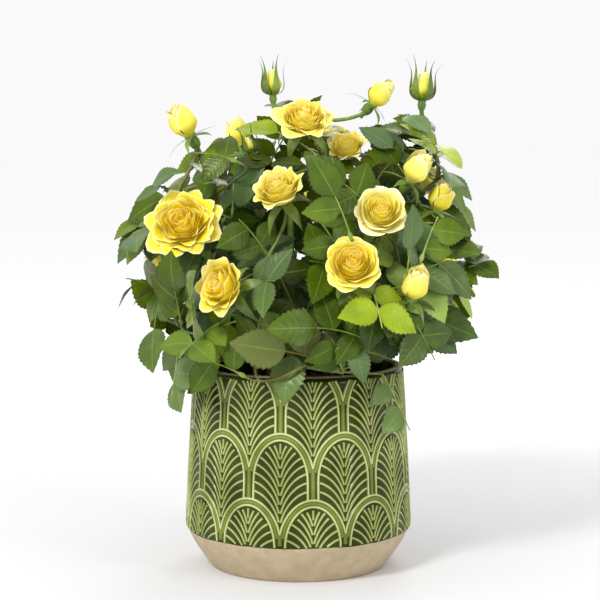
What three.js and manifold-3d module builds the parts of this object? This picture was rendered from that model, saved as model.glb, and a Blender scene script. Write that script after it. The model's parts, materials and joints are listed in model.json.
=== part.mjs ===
// A potted miniature rose in flower: a glazed pot full of soil, ten canes that rise from the
// soil, and one mass of foliage with its blossom at the end of each cane.
// Millimetres, +Z up. The origin is the centre of the pot's flat underside, +X is to the
// right of the front view and -Y is toward the front.
import * as THREE from 'three';
import Module from 'manifold-3d';
import { mergeVertices } from 'three/addons/utils/BufferGeometryUtils.js';

const wasm = await Module();
wasm.setup();

// ---------------------------------------------------------------- driving dimensions

const POT = {
  height: 141,
  footRadius: 61.3,
  bellyRadius: 78.5,
  bellyHeight: 29,
  rimRadius: 72.6,
  wall: 6,
  floor: 8,
  footSteps: 4,
};
// The heights between which the pot's hollow, and the soil in it, run straight.
const HOLLOW_HEIGHTS = [14, 22, 37];
const SOIL = { top: 126, gap: 0.4, sides: 28 };

// Rows of fans stand out of the pot's glaze, each row set half a fan further round. The ridge
// over a fan is half of an ellipse. Sizes across it are shares of the distance between fans.
const FANS = {
  count: 11,
  rows: 3,
  firstTop: 59.3,
  rowRise: 44.3,
  turn: THREE.MathUtils.degToRad(7.3),
  archHalfWidth: 0.52,
  archRise: 32.6,
  corners: [-0.5, -0.36, 0, 0.36],
  ridgeHalfWidth: 1.5,
  ridgeHeight: 0.95,
  mostSpread: 2.2,
  belowRim: 2.8,
};

// The space that the crown fills: a rounded body, a little flatter from front to back.
const CROWN = {
  middleX: 3,
  halfWidth: 131,
  depthShare: 0.92,
  widest: 215,
  up: 126,
  down: 150,
  roundness: 2.2,
  lowest: 103,
  heart: 185,
};
const CELL_GAP = 0.25;
const SHORTEST_EDGE = 0.03;

const CANE = {
  footRadius: 3.2,
  tipRadius: 2.5,
  sides: 5,
  steps: 6,
  samples: 40,
  bendShare: 0.62,
  depthInCell: 7,
  leastShare: 0.42,
  mostShare: 0.8,
};
const STEM = {
  baseRadius: 2.3,
  tipRadius: 1.6,
  gap: 0.3,
  sides: 4,
  steps: 3,
  forks: [0.3, 0.55, 0.8, 1],
};
const SHOOT = {
  baseRadius: 1.6,
  tipRadius: 1.3,
  sides: 3,
  steps: 3,
  swell: 0.35,
  runOut: 0.25,
  runIn: 0.35,
};
// How far twigs and leaves keep from the pot, the canes and the blossom, and the share of a
// bloom's radius that nothing covers on the side it is seen from.
const CLEAR = {
  twigFromPot: 2.5,
  twigFromCane: 3,
  leafFromPot: 2.2,
  leafFromCane: 4,
  bloomRoom: 3.5,
  view: 0.72,
};

// A leaf: a petiole, two pairs of leaflets and a last leaflet, on a rachis that droops.
const LEAF = {
  petiole: 10,
  pairSpacing: 16,
  terminalSpacing: 13,
  droop: 0.2,
  rachisWidth: 1.1,
  rachisHeight: 0.9,
  leafletLengths: [22, 27, 33],
  leafletRoot: 2.4,
  widthShare: 0.84,
  widestShare: 0.45,
  pairAngle: 1.22,
  fold: 0.2,
  scales: [0.88, 1.14],
  spacing: 17,
  turn: 2.4,
  tries: 12,
  fewestLeaflets: 3,
};
const LEAVES_ON_A_SHOOT = 3;
const FIRST_LEAF_UNDER_A_BLOOM = 22;
// How a leaf turns its face: outward from the crown, up to the sky, and a little at random.
const LEAF_FACE = { outward: 1, up: 0.45, tilt: 0.9 };
// How much a leaflet takes from another's light, and the square of the distance it does so.
const SHADE = { strength: 0.7, spread: 260 };
const FILL_SHELLS = [
  { share: 0.97, tips: 150, clearing: 28, spread: 1.6 },
  { share: 0.8, tips: 130, clearing: 34, spread: 1.6 },
  { share: 0.99, tips: 250, clearing: 31, spread: 1.6 },
];

// Each mass of foliage keeps to the space that lies nearer its middle than any other's.
const MASSES = [
  ['top', -6, 0, 302],
  ['left', -90, -14, 262],
  ['right', 94, -6, 268],
  ['front_left', -44, -84, 205],
  ['front_right', 54, -84, 215],
  ['low_left', -92, 12, 170],
  ['low_right', 94, 6, 172],
  ['low_front', 4, -78, 150],
  ['back_left', -50, 80, 215],
  ['back_right', 54, 80, 215],
].map(([name, x, y, z]) => ({ name, middle: new THREE.Vector3(x, y, z) }));

// The blossom that stands out of the front: its middle, its radius, how far it has opened
// and the way it faces.
const FRONT_BLOSSOM = [
  ['tight', -18, 0, 336, 8, [-0.05, 0, 1]],
  ['tight', 86, 0, 333, 9, [0.05, 0, 1]],
  ['tight', -33, -5, 294, 6, [-0.3, -0.1, 0.95]],
  ['bud', 56, 2, 327, 11, [0.65, -0.2, 0.75]],
  ['bud', -79, -2, 307, 12.5, [-0.5, -0.15, 0.85]],
  ['bud', 80, -30, 276, 12, [0.55, -0.2, 0.8]],
  ['bud', 97, -22, 256, 11, [0.3, -0.3, 0.9]],
  ['bud', 76, -78, 201, 12, [0.2, -0.35, 0.92]],
  ['cup', -13, -62, 265, 18, [-0.3, -0.55, 0.78]],
  ['cup', -50, -88, 203, 19, [-0.65, -0.7, 0.3]],
  ['cup', 34, 6, 292, 14, [-0.2, -0.6, 0.75]],
  ['open', 4, -20, 313, 20, [0.05, -0.62, 0.78]],
  ['open', 54, -74, 252, 19.5, [0, -0.85, 0.52]],
  ['open', -78, -50, 243, 25, [-0.15, -0.9, 0.4]],
  ['open', 35, -100, 219, 20.5, [0, -0.85, 0.52]],
];
// The blossom behind: its middle and its radius. It faces outward.
const BACK_BLOSSOM = [
  ['open', 22, 76, 298, 19],
  ['open', -64, 98, 238, 21],
  ['open', 62, 100, 212, 19],
  ['cup', 4, 112, 246, 17],
  ['cup', 92, 60, 268, 16],
  ['cup', -98, 64, 216, 17],
  ['bud', -44, 66, 298, 12],
  ['bud', 106, 64, 204, 11],
  ['bud', -6, 114, 186, 11],
];

// Leafy shoots that reach the crown's furthest tips.
const FURTHEST_TIPS = [
  [-122, -6, 243],
  [-116, 4, 214],
  [-118, -8, 164],
  [-96, -20, 134],
  [-90, 4, 298],
  [-44, 0, 312],
  [16, 6, 330],
  [112, -4, 280],
  [124, -6, 234],
  [118, -8, 172],
  [92, -18, 138],
  [-62, -76, 118],
  [-12, -92, 128],
  [66, -74, 138],
].map((place) => new THREE.Vector3(...place));

// How a bloom's outline runs from its calyx to its heart: radius and height, both as shares
// of its radius, and how much every other corner of the ring draws in and rises.
const BLOOM_FORMS = {
  open: {
    sides: 10,
    bottom: -0.62,
    rings: [[0.3, -0.52, 0], [0.8, -0.28, 0], [1, 0.05, 0.13], [0.62, 0.34, 0]],
    top: 0.22,
  },
  cup: {
    sides: 8,
    bottom: -0.75,
    rings: [[0.42, -0.6, 0], [0.88, -0.1, 0], [1, 0.38, 0.14], [0.55, 0.5, 0]],
    top: 0.35,
  },
  bud: {
    sides: 6,
    bottom: -1.05,
    rings: [[0.55, -0.75, 0], [0.95, 0, 0], [0.72, 0.85, 0.12]],
    top: 1.15,
  },
  tight: {
    sides: 5,
    bottom: -1.3,
    rings: [[0.6, -0.8, 0], [0.85, 0, 0], [0.45, 0.9, 0]],
    top: 1.4,
  },
};
const SEPALS = { count: 5, width: 0.32, thickness: 0.14, reach: { tight: 2.6 } };

const COLOURS = {
  glaze: 0x6f8f3a,
  soil: 0x3a2a1e,
  bark: 0x6b7a3c,
  foliage: 0x35652a,
};

// ------------------------------------------------------------------------ small tools

const UP = new THREE.Vector3(0, 0, 1);

// Numbers from 0 to 1 that are the same on every run.
function seededRandom(seed) {
  let state = (seed * 7919 + 104729) % 2147483647;
  return () => {
    state = (state * 48271) % 2147483647;
    return state / 2147483647;
  };
}

function along(from, direction, distance) {
  return from.clone().addScaledVector(direction, distance);
}

// The part of a direction that is square to an axis, at unit length.
function squareTo(axis, direction) {
  return direction.clone().addScaledVector(axis, -axis.dot(direction)).normalize();
}

function anySideOf(axis) {
  const helper = Math.abs(axis.z) < 0.9 ? UP : new THREE.Vector3(1, 0, 0);
  return squareTo(axis, helper);
}

// ---------------------------------------------------------------- faceted closed shapes

function geometryOf(vertices, triangles) {
  const geometry = new THREE.BufferGeometry();
  const numbers = vertices.flatMap((vertex) => [vertex.x, vertex.y, vertex.z]);
  geometry.setAttribute('position', new THREE.Float32BufferAttribute(numbers, 3));
  geometry.setIndex(triangles.flat());
  return geometry;
}

// Rings of equally many corners, closed at each end by a point or by a flat cap.
function ringedShape(rings, startPoint, endPoint) {
  const sides = rings[0].length;
  const vertices = rings.flat();
  const triangles = [];
  for (let ring = 0; ring + 1 < rings.length; ring += 1) {
    for (let side = 0; side < sides; side += 1) {
      const here = ring * sides + side;
      const next = ring * sides + ((side + 1) % sides);
      triangles.push([here, next, next + sides], [here, next + sides, here + sides]);
    }
  }
  const lastRing = (rings.length - 1) * sides;
  const caps = [[startPoint, 0, false], [endPoint, lastRing, true]];
  for (const [point, first, forward] of caps) {
    const fan = point ? vertices.push(point) - 1 : first;
    for (let side = 0; side < sides; side += 1) {
      const here = first + side;
      const next = first + ((side + 1) % sides);
      if (here !== fan && next !== fan) {
        triangles.push(forward ? [fan, here, next] : [fan, next, here]);
      }
    }
  }
  return geometryOf(vertices, triangles);
}

// A round limb that tapers along a line of points, with flat ends. The first end is square
// to a given axis, or to the first step.
function limb(points, startRadius, endRadius, sides, startAxis = null) {
  const rings = [];
  let side = null;
  for (let index = 0; index < points.length; index += 1) {
    const before = points[Math.max(index - 1, 0)];
    const after = points[Math.min(index + 1, points.length - 1)];
    const axis = index === 0 && startAxis ? startAxis : after.clone().sub(before).normalize();
    side = side ? squareTo(axis, side) : anySideOf(axis);
    const other = axis.clone().cross(side);
    const radius = THREE.MathUtils.lerp(startRadius, endRadius, index / (points.length - 1));
    const ring = [];
    for (let corner = 0; corner < sides; corner += 1) {
      const angle = (corner / sides) * 2 * Math.PI;
      const place = along(points[index], side, radius * Math.cos(angle));
      ring.push(along(place, other, radius * Math.sin(angle)));
    }
    rings.push(ring);
  }
  return ringedShape(rings, null, null);
}

// A thin blade of eight faces: a pointed outline that is thickest in its middle.
function blade(base, direction, face, length, width, thickness) {
  const side = direction.clone().cross(face);
  const middle = along(base, direction, length * 0.4);
  const outline = [
    along(middle, side, width / 2),
    along(middle, face, thickness / 2),
    along(middle, side, -width / 2),
    along(middle, face, -thickness / 2),
  ];
  return ringedShape([outline], along(base, direction, length), base);
}

function solidOf(geometry) {
  geometry.deleteAttribute('normal');
  geometry.deleteAttribute('uv');
  const merged = mergeVertices(geometry, 1e-4);
  const mesh = new wasm.Mesh({
    numProp: 3,
    vertProperties: new Float32Array(merged.attributes.position.array),
    triVerts: new Uint32Array(merged.index.array),
  });
  return new wasm.Manifold(mesh);
}

// Joins shapes into one body, and drops any scrap that the body doesn't hold and any edge
// too short to see.
function joined(geometries) {
  const union = wasm.Manifold.union(geometries.map(solidOf)).simplify(SHORTEST_EDGE);
  const bodies = union.decompose();
  bodies.sort((a, b) => b.volume() - a.volume());
  const mesh = bodies[0].getMesh();
  const geometry = new THREE.BufferGeometry();
  geometry.setAttribute('position', new THREE.BufferAttribute(mesh.vertProperties, 3));
  geometry.setIndex(new THREE.BufferAttribute(mesh.triVerts, 1));
  return geometry;
}

// ------------------------------------------------------------------------ pot and soil

// The outside of the pot: a flat foot, a rounded lower edge up to the belly, and a wall that
// draws in slightly to the rim.
function potOutside(height) {
  if (height >= POT.bellyHeight) {
    const share = (height - POT.bellyHeight) / (POT.height - POT.bellyHeight);
    return POT.bellyRadius + (POT.rimRadius - POT.bellyRadius) * share ** 1.15;
  }
  const round = 1 - Math.max(0, 1 - height / POT.bellyHeight) ** 1.35;
  return POT.footRadius + (POT.bellyRadius - POT.footRadius) * round;
}

function potInside(height) {
  const drop = Math.max(0, 1 - (height - POT.floor) / POT.bellyHeight);
  return potOutside(Math.max(height, POT.bellyHeight)) - POT.wall - 14 * drop ** 2;
}

// A ring round the pot that has one corner for each corner of the fans' arches.
function ringRoundPot(row, heightAt, radiusAt) {
  const staggered = row % 2;
  const corners = FANS.corners.length;
  return Array.from({ length: FANS.count * corners }, (_, index) => {
    const step = index + (staggered * corners) / 2;
    const across = FANS.corners[step % corners];
    const around = Math.floor(step / corners) - staggered / 2 + across;
    const angle = (around / FANS.count) * 2 * Math.PI + FANS.turn;
    const height = heightAt(across);
    const radius = radiusAt(height);
    return new THREE.Vector3(radius * Math.sin(angle), -radius * Math.cos(angle), height);
  });
}

function levelRing(height, radiusAt) {
  return ringRoundPot(0, () => height, radiusAt);
}

// A row of arches: one line of its ridge, set off across it and standing out from the wall.
function archRing(row, offset, proud) {
  const top = FANS.firstTop + row * FANS.rowRise;
  const heightAt = (across) => {
    const level = Math.sqrt(1 - (across / FANS.archHalfWidth) ** 2);
    const spread = Math.min(FANS.mostSpread, 1 / level);
    const height = top - FANS.archRise * (1 - level) + offset * spread;
    return Math.min(height, POT.height - FANS.belowRim + offset);
  };
  return ringRoundPot(row, heightAt, (height) => potOutside(height) + proud);
}

function makePot() {
  const rings = [];
  for (let step = 0; step <= POT.footSteps; step += 1) {
    rings.push(levelRing(POT.bellyHeight * (step / POT.footSteps) ** 2, potOutside));
  }
  for (let row = 0; row < FANS.rows; row += 1) {
    rings.push(
      archRing(row, -FANS.ridgeHalfWidth, 0),
      archRing(row, 0, FANS.ridgeHeight),
      archRing(row, FANS.ridgeHalfWidth, 0),
    );
  }
  rings.push(levelRing(POT.height, potOutside));
  for (const height of [POT.height, ...HOLLOW_HEIGHTS.toReversed(), POT.floor]) {
    rings.push(levelRing(height, potInside));
  }
  return ringedShape(rings, null, null);
}

function makeSoil() {
  const low = POT.floor + SOIL.gap;
  const wall = [low, ...HOLLOW_HEIGHTS, SOIL.top].map((height) => [potInside(height) - 2 * SOIL.gap, height]);
  const profile = [[0, low], ...wall, [0, SOIL.top]];
  const points = profile.map(([radius, height]) => new THREE.Vector2(radius, height));
  return new THREE.LatheGeometry(points, SOIL.sides).rotateX(Math.PI / 2);
}

function clearOfPot(point, clearance) {
  if (point.z > POT.height + clearance) {
    return true;
  }
  const radius = Math.hypot(point.x, point.y);
  if (radius > potOutside(point.z) + clearance) {
    return true;
  }
  return radius < potInside(point.z) - clearance && point.z > SOIL.top + clearance;
}

// ------------------------------------------------------------------------ crown's space

// 0 at the crown's middle and 1 on its outside.
function reachOf(point) {
  const across = (point.x - CROWN.middleX) / CROWN.halfWidth;
  const deep = point.y / (CROWN.halfWidth * CROWN.depthShare);
  const rise = point.z - CROWN.widest;
  const high = Math.abs(rise) / (rise > 0 ? CROWN.up : CROWN.down);
  const level = Math.hypot(across, deep) ** CROWN.roundness;
  return (level + high ** CROWN.roundness) ** (1 / CROWN.roundness);
}

function outwardAt(point) {
  return new THREE.Vector3(point.x - CROWN.middleX, point.y, 0.6 * (point.z - CROWN.heart)).normalize();
}

// How deep a point lies inside a mass's space, below zero outside it.
function depthInSpace(point, mass) {
  let depth = Infinity;
  for (const other of MASSES) {
    if (other !== mass) {
      const lead = point.distanceToSquared(other.middle) - point.distanceToSquared(mass.middle);
      depth = Math.min(depth, lead / (2 * other.middle.distanceTo(mass.middle)));
    }
  }
  return depth;
}

function massAt(point) {
  return MASSES.find((mass) => depthInSpace(point, mass) >= 0);
}

function inCrown(point) {
  return reachOf(point) < 1.04 && point.z > CROWN.lowest;
}

// -------------------------------------------------------------------------------- canes

// A cane rises straight out of the soil, then leans out to the middle of its mass. The low
// masses' canes stand further out than the high ones'.
function canePath(mass) {
  const level = Math.hypot(mass.middle.x, mass.middle.y);
  const footShare = 4 / level + 0.5 - (mass.middle.z - SOIL.top) / 600;
  const foot = new THREE.Vector3(mass.middle.x * footShare, mass.middle.y * footShare, SOIL.top);
  const bend = along(foot, UP, CANE.bendShare * (mass.middle.z - SOIL.top));
  return new THREE.QuadraticBezierCurve3(foot, bend, mass.middle);
}

// The share of the path at which the cane has entered its mass and ends.
function caneEnd(mass, path) {
  let share = CANE.leastShare;
  while (share < CANE.mostShare && depthInSpace(path.getPoint(share), mass) < CANE.depthInCell) {
    share += 0.01;
  }
  return share;
}

function pointsOn(path, from, to, steps) {
  return Array.from({ length: steps + 1 }, (_, step) => path.getPoint(from + ((to - from) * step) / steps));
}

for (const mass of MASSES) {
  const path = canePath(mass);
  const end = caneEnd(mass, path);
  mass.cane = pointsOn(path, 0, end, CANE.steps);
  mass.caneSamples = pointsOn(path, 0, end, CANE.samples);
  const tip = mass.cane[CANE.steps];
  const heading = tip.clone().sub(mass.cane[CANE.steps - 1]).normalize();
  mass.stem = pointsOn(path, end, 1, STEM.steps);
  mass.stem[0] = along(tip, heading, STEM.gap);
  mass.stemHeading = heading;
  mass.path = path;
  mass.stemStart = end;
  mass.leaflets = [];
  mass.twigs = [];
}

function clearOfCanes(point, clearance) {
  const least = (CANE.footRadius + clearance) ** 2;
  return MASSES.every((mass) => mass.caneSamples.every((sample) => sample.distanceToSquared(point) > least));
}

// ------------------------------------------------------------------------------ blossom

const blossom = FRONT_BLOSSOM.map(([stage, x, y, z, radius, faces]) => ({
  stage,
  middle: new THREE.Vector3(x, y, z),
  radius,
  faces: new THREE.Vector3(...faces).normalize(),
  seenFrom: new THREE.Vector3(0, -1, 0.1).normalize(),
}));
for (const [stage, x, y, z, radius] of BACK_BLOSSOM) {
  const middle = new THREE.Vector3(x, y, z);
  const away = new THREE.Vector3(x - CROWN.middleX, y, 0).normalize();
  const faces = outwardAt(middle).addScaledVector(UP, stage === 'bud' ? 1 : 0.3).normalize();
  blossom.push({ stage, middle, radius, faces, seenFrom: away });
}
for (const bloom of blossom) {
  bloom.neck = along(bloom.middle, bloom.faces, BLOOM_FORMS[bloom.stage].bottom * bloom.radius);
  bloom.mass = massAt(bloom.neck);
}

// Foliage leaves the way free between each bloom and the side that it is seen from.
function leavesBlossomInView(point) {
  return blossom.every((bloom) => {
    const offset = point.clone().sub(bloom.middle);
    const ahead = offset.dot(bloom.seenFrom);
    const aside = Math.sqrt(Math.max(0, offset.lengthSq() - ahead * ahead));
    return ahead < 0 || aside > bloom.radius * CLEAR.view;
  });
}

function clearOfBlossom(point, mass) {
  return blossom.every((bloom) => {
    const least = bloom.mass === mass ? bloom.radius * 0.8 : bloom.radius + CLEAR.bloomRoom;
    return bloom.middle.distanceTo(point) > least;
  });
}

// -------------------------------------------------------------------- shoots and leaves

function growShoot(mass, end, endDirection) {
  let best = null;
  for (const fork of STEM.forks) {
    const share = mass.stemStart + (1 - mass.stemStart) * fork;
    const start = mass.path.getPoint(share);
    const heading = mass.path.getTangent(share);
    const toEnd = end.clone().sub(start);
    const cost = toEnd.length() * (1.5 - 0.5 * heading.dot(toEnd.clone().normalize()));
    if (!best || cost < best.cost) {
      best = { cost, start, heading, distance: toEnd.length() };
    }
  }
  const path = new THREE.CubicBezierCurve3(
    best.start,
    along(best.start, best.heading, best.distance * SHOOT.runOut),
    along(end, endDirection, -best.distance * SHOOT.runIn),
    end,
  );
  const points = pointsOn(path, 0, 1, SHOOT.steps);
  const others = blossom.filter((bloom) => bloom.mass !== mass);
  const fits = pointsOn(path, 0, 1, 5 * SHOOT.steps).every((point) => (
    depthInSpace(point, mass) > CELL_GAP + SHOOT.baseRadius
    && others.every((bloom) => bloom.middle.distanceTo(point) > bloom.radius + CLEAR.bloomRoom)
    && clearOfPot(point, CLEAR.twigFromPot)
    && clearOfCanes(point, CLEAR.twigFromCane)
  ));
  const blocked = twigsAlong(points).some((twig) => mass.leaflets.some((leaflet) => pierces(twig, leaflet)));
  return fits && !blocked ? { mass, path, points, length: path.getLength(), leaves: [] } : null;
}

function makeLeaflet(base, direction, face, length) {
  const side = direction.clone().cross(face);
  const halfWidth = (length * LEAF.widthShare) / 2;
  const widest = along(base, direction, length * LEAF.widestShare);
  const tip = along(base, direction, length);
  return {
    base,
    direction,
    side,
    length,
    halfWidth,
    tip,
    leftEdge: along(widest, side, -halfWidth),
    rightEdge: along(widest, side, halfWidth),
    middle: along(base, direction, length / 2),
  };
}

// Where a leaf's rachis and leaflets lie, with the leaflets in pairs and one at the end.
function makeLeaf(base, direction, face, scale) {
  const rachisAt = (distance) => {
    const place = along(base, direction, distance * scale);
    return place.addScaledVector(UP, (-LEAF.droop * scale * distance * distance) / 40);
  };
  const firstPair = LEAF.petiole;
  const secondPair = firstPair + LEAF.pairSpacing;
  const end = secondPair + LEAF.terminalSpacing;
  const leaflets = [];
  [firstPair, secondPair, end].forEach((distance, index) => {
    const heading = rachisAt(distance + 1).sub(rachisAt(distance - 1)).normalize();
    const flatFace = squareTo(heading, face);
    const side = heading.clone().cross(flatFace);
    for (const turn of distance === end ? [0] : [-1, 1]) {
      const pointing = heading.clone().multiplyScalar(Math.cos(LEAF.pairAngle * turn));
      pointing.addScaledVector(side, Math.sin(LEAF.pairAngle * turn));
      const folded = flatFace.clone().addScaledVector(side, -LEAF.fold * turn);
      const length = LEAF.leafletLengths[index] * scale;
      const leaflet = makeLeaflet(rachisAt(distance), pointing, squareTo(pointing, folded), length);
      leaflets.push({ distance, turn, ...leaflet });
    }
  });
  return { rachisAt, face, stops: [firstPair, secondPair, end], leaflets };
}

function leafTip(leaf) {
  return leaf.leaflets[leaf.leaflets.length - 1].tip;
}

const SAMPLE_STEPS = [0.1, 0.28, 0.46, 0.64, 0.82, 1];
const SAMPLE_SIDES = [-1, -0.5, 0, 0.5, 1];

function pointFits(point, mass) {
  return depthInSpace(point, mass) > 3 * CELL_GAP
    && clearOfPot(point, CLEAR.leafFromPot)
    && clearOfCanes(point, CLEAR.leafFromCane);
}

function rachisFits(leaf, mass) {
  const end = leaf.stops[2];
  return [0.25, 0.5, 0.75, 1].every((share) => pointFits(leaf.rachisAt(end * share), mass));
}

function leafletFits(leaflet, mass) {
  for (const step of SAMPLE_STEPS) {
    const narrowing = Math.min(step / LEAF.widestShare, (1 - step) / (1 - LEAF.widestShare));
    const middle = along(leaflet.base, leaflet.direction, leaflet.length * step);
    for (const share of SAMPLE_SIDES) {
      const point = along(middle, leaflet.side, leaflet.halfWidth * narrowing * share);
      const seemly = inCrown(point) && leavesBlossomInView(point) && clearOfBlossom(point, mass);
      if (!seemly || !pointFits(point, mass)) {
        return false;
      }
    }
  }
  return true;
}

// Whether a straight twig from a to b passes through a leaflet.
function pierces([a, b], leaflet) {
  const length = a.distanceTo(b);
  const ray = new THREE.Ray(a, b.clone().sub(a).divideScalar(length));
  const hit = new THREE.Vector3();
  return [leaflet.leftEdge, leaflet.rightEdge].some((edge) => {
    const found = ray.intersectTriangle(leaflet.base, edge, leaflet.tip, false, hit);
    return found !== null && hit.distanceTo(a) < length;
  });
}

function edgesOf(leaflet) {
  const { base, leftEdge, tip, rightEdge } = leaflet;
  return [[base, leftEdge], [leftEdge, tip], [tip, rightEdge], [rightEdge, base], [base, tip]];
}

function passThrough(one, other) {
  if (one.middle.distanceTo(other.middle) > (one.length + other.length) / 2) {
    return false;
  }
  return edgesOf(one).some((edge) => pierces(edge, other))
    || edgesOf(other).some((edge) => pierces(edge, one));
}

function twigsAlong(points) {
  return points.slice(1).map((point, index) => [points[index], point]);
}

function rachisTwigs(leaf) {
  return twigsAlong([0.1, 0.4, 0.7, 1].map((share) => leaf.rachisAt(leaf.stops[2] * share)));
}

const leafletMiddles = [];

function crowding(point) {
  const shadeFrom = (middle) => Math.exp(-middle.distanceToSquared(point) / SHADE.spread);
  return leafletMiddles.reduce((sum, middle) => sum + shadeFrom(middle), 0);
}

// How much light a leaf finds: many leaflets, away from those that are there already.
function lightOn(leaf) {
  return leaf.leaflets.reduce((sum, leaflet) => sum + 1 - SHADE.strength * crowding(leaflet.middle), 0);
}

function keepWhatFits(leaf, mass) {
  const blocked = rachisTwigs(leaf).some((twig) => mass.leaflets.some((leaflet) => pierces(twig, leaflet)));
  leaf.leaflets = leaf.leaflets.filter((leaflet) => !blocked
    && rachisFits(leaf, mass)
    && leafletFits(leaflet, mass)
    && !mass.twigs.some((twig) => pierces(twig, leaflet))
    && !mass.leaflets.some((other) => passThrough(leaflet, other)));
  return leaf;
}

function addLeaf(shoot, leaf) {
  leafletMiddles.push(...leaf.leaflets.map((leaflet) => leaflet.middle));
  shoot.mass.leaflets.push(...leaf.leaflets);
  shoot.mass.twigs.push(...rachisTwigs(leaf));
  shoot.leaves.push(leaf);
}

function leafFace(place, random) {
  const tilt = new THREE.Vector3(random() - 0.5, random() - 0.5, random() - 0.5);
  const face = outwardAt(place).multiplyScalar(LEAF_FACE.outward);
  return face.addScaledVector(UP, LEAF_FACE.up).addScaledVector(tilt, LEAF_FACE.tilt);
}

function leafScale(random) {
  return LEAF.scales[0] + (LEAF.scales[1] - LEAF.scales[0]) * random();
}

// Of several ways round the shoot, a side leaf takes the one that finds the most light.
function growSideLeaf(shoot, share, turn, random) {
  const base = shoot.path.getPoint(share);
  const heading = shoot.path.getTangent(share);
  const side = anySideOf(heading);
  const other = heading.clone().cross(side);
  const outward = outwardAt(base);
  const scale = leafScale(random);
  const face = leafFace(base, random);
  let best = null;
  for (let attempt = 0; attempt < LEAF.tries; attempt += 1) {
    const angle = turn + (attempt / LEAF.tries) * 2 * Math.PI;
    const direction = side.clone().multiplyScalar(Math.cos(angle)).addScaledVector(other, Math.sin(angle));
    direction.addScaledVector(heading, 0.5).addScaledVector(outward, 0.25).normalize();
    const leaf = keepWhatFits(makeLeaf(base, direction, face, scale), shoot.mass);
    leaf.score = lightOn(leaf) + 0.8 * direction.dot(outward);
    if (leaf.leaflets.length >= LEAF.fewestLeaflets && (!best || leaf.score > best.score)) {
      best = leaf;
    }
  }
  if (best) {
    addLeaf(shoot, best);
  }
}

function growSideLeaves(shoot, firstDistance, count, random) {
  const start = random() * 2 * Math.PI;
  for (let index = 0; index < count; index += 1) {
    const distance = firstDistance + index * LEAF.spacing * (0.85 + 0.3 * random());
    if (distance < shoot.length - 2) {
      growSideLeaf(shoot, 1 - distance / shoot.length, start + index * LEAF.turn, random);
    }
  }
}

const shoots = [];

function addShoot(shoot) {
  shoots.push(shoot);
  shoot.mass.twigs.push(...twigsAlong(shoot.points));
}

function growBloomShoot(bloom) {
  const shoot = growShoot(bloom.mass, bloom.neck, bloom.faces);
  if (shoot) {
    shoot.bloom = bloom;
    addShoot(shoot);
  }
}

// A leafy shoot ends in a leaf whose tip is at the given place. It comes from the side that
// gives that leaf the most light.
function growLeafyShoot(place, spread, random) {
  const scale = leafScale(random);
  const face = leafFace(place, random);
  const outward = outwardAt(place);
  const side = anySideOf(outward);
  const other = outward.clone().cross(side);
  const start = random() * 2 * Math.PI;
  let best = null;
  for (let attempt = 0; attempt < LEAF.tries; attempt += 1) {
    const angle = start + (attempt / LEAF.tries) * 2 * Math.PI;
    const direction = outward.clone().addScaledVector(side, spread * Math.cos(angle));
    direction.addScaledVector(other, spread * Math.sin(angle)).normalize();
    const reach = leafTip(makeLeaf(new THREE.Vector3(), direction, face, scale));
    const end = place.clone().sub(reach);
    const mass = massAt(end);
    const leaf = keepWhatFits(makeLeaf(end, direction, face, scale), mass);
    const fits = leaf.leaflets.length >= LEAF.fewestLeaflets;
    if (fits && (!best || lightOn(leaf) > lightOn(best.leaf))) {
      const shoot = growShoot(mass, end, direction);
      best = shoot ? { shoot, leaf } : best;
    }
  }
  if (best) {
    best.shoot.lastLeaf = best.leaf;
    addShoot(best.shoot);
    addLeaf(best.shoot, best.leaf);
    growSideLeaves(best.shoot, LEAF.spacing * 0.6, LEAVES_ON_A_SHOOT - 1, random);
  }
}

// Points spread evenly over a shell of the crown, by the golden angle.
function shellPoints(share, count) {
  return Array.from({ length: count }, (_, index) => {
    const level = 1 - (2 * (index + 0.5)) / count;
    const angle = index * Math.PI * (3 - Math.sqrt(5));
    const ring = Math.sqrt(1 - level * level);
    const offset = new THREE.Vector3(ring * Math.cos(angle), ring * Math.sin(angle), level);
    offset.multiply(new THREE.Vector3(1, CROWN.depthShare, 1)).multiplyScalar(CROWN.halfWidth);
    const centre = new THREE.Vector3(CROWN.middleX, 0, CROWN.widest);
    const reach = reachOf(offset.clone().add(centre));
    return offset.multiplyScalar(share / reach).add(centre);
  });
}

blossom.forEach(growBloomShoot);
FURTHEST_TIPS.forEach((tip, index) => growLeafyShoot(tip, 0.4, seededRandom(index + 1)));
shoots.forEach((shoot, index) => {
  if (shoot.bloom) {
    growSideLeaves(shoot, FIRST_LEAF_UNDER_A_BLOOM, LEAVES_ON_A_SHOOT, seededRandom(100 + index));
  }
});
for (const shell of FILL_SHELLS) {
  shellPoints(shell.share, shell.tips).forEach((place, index) => {
    const middle = along(place, outwardAt(place), -15);
    if (leafletMiddles.every((other) => other.distanceTo(middle) > shell.clearing)) {
      growLeafyShoot(place, shell.spread, seededRandom(200 + index));
    }
  });
}

// --------------------------------------------------------------- solids of the foliage

function bloomShape(bloom) {
  const form = BLOOM_FORMS[bloom.stage];
  const side = anySideOf(bloom.faces);
  const other = bloom.faces.clone().cross(side);
  const rings = form.rings.map(([ringRadius, height, wave]) => {
    const ring = [];
    for (let corner = 0; corner < form.sides; corner += 1) {
      const drawnIn = corner % 2 ? wave : 0;
      const angle = (corner / form.sides) * 2 * Math.PI;
      const radius = (ringRadius - drawnIn) * bloom.radius;
      const place = along(bloom.middle, bloom.faces, (height + drawnIn) * bloom.radius);
      place.addScaledVector(side, radius * Math.cos(angle));
      ring.push(place.addScaledVector(other, radius * Math.sin(angle)));
    }
    return ring;
  });
  const top = along(bloom.middle, bloom.faces, form.top * bloom.radius);
  return ringedShape(rings, bloom.neck, top);
}

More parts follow.
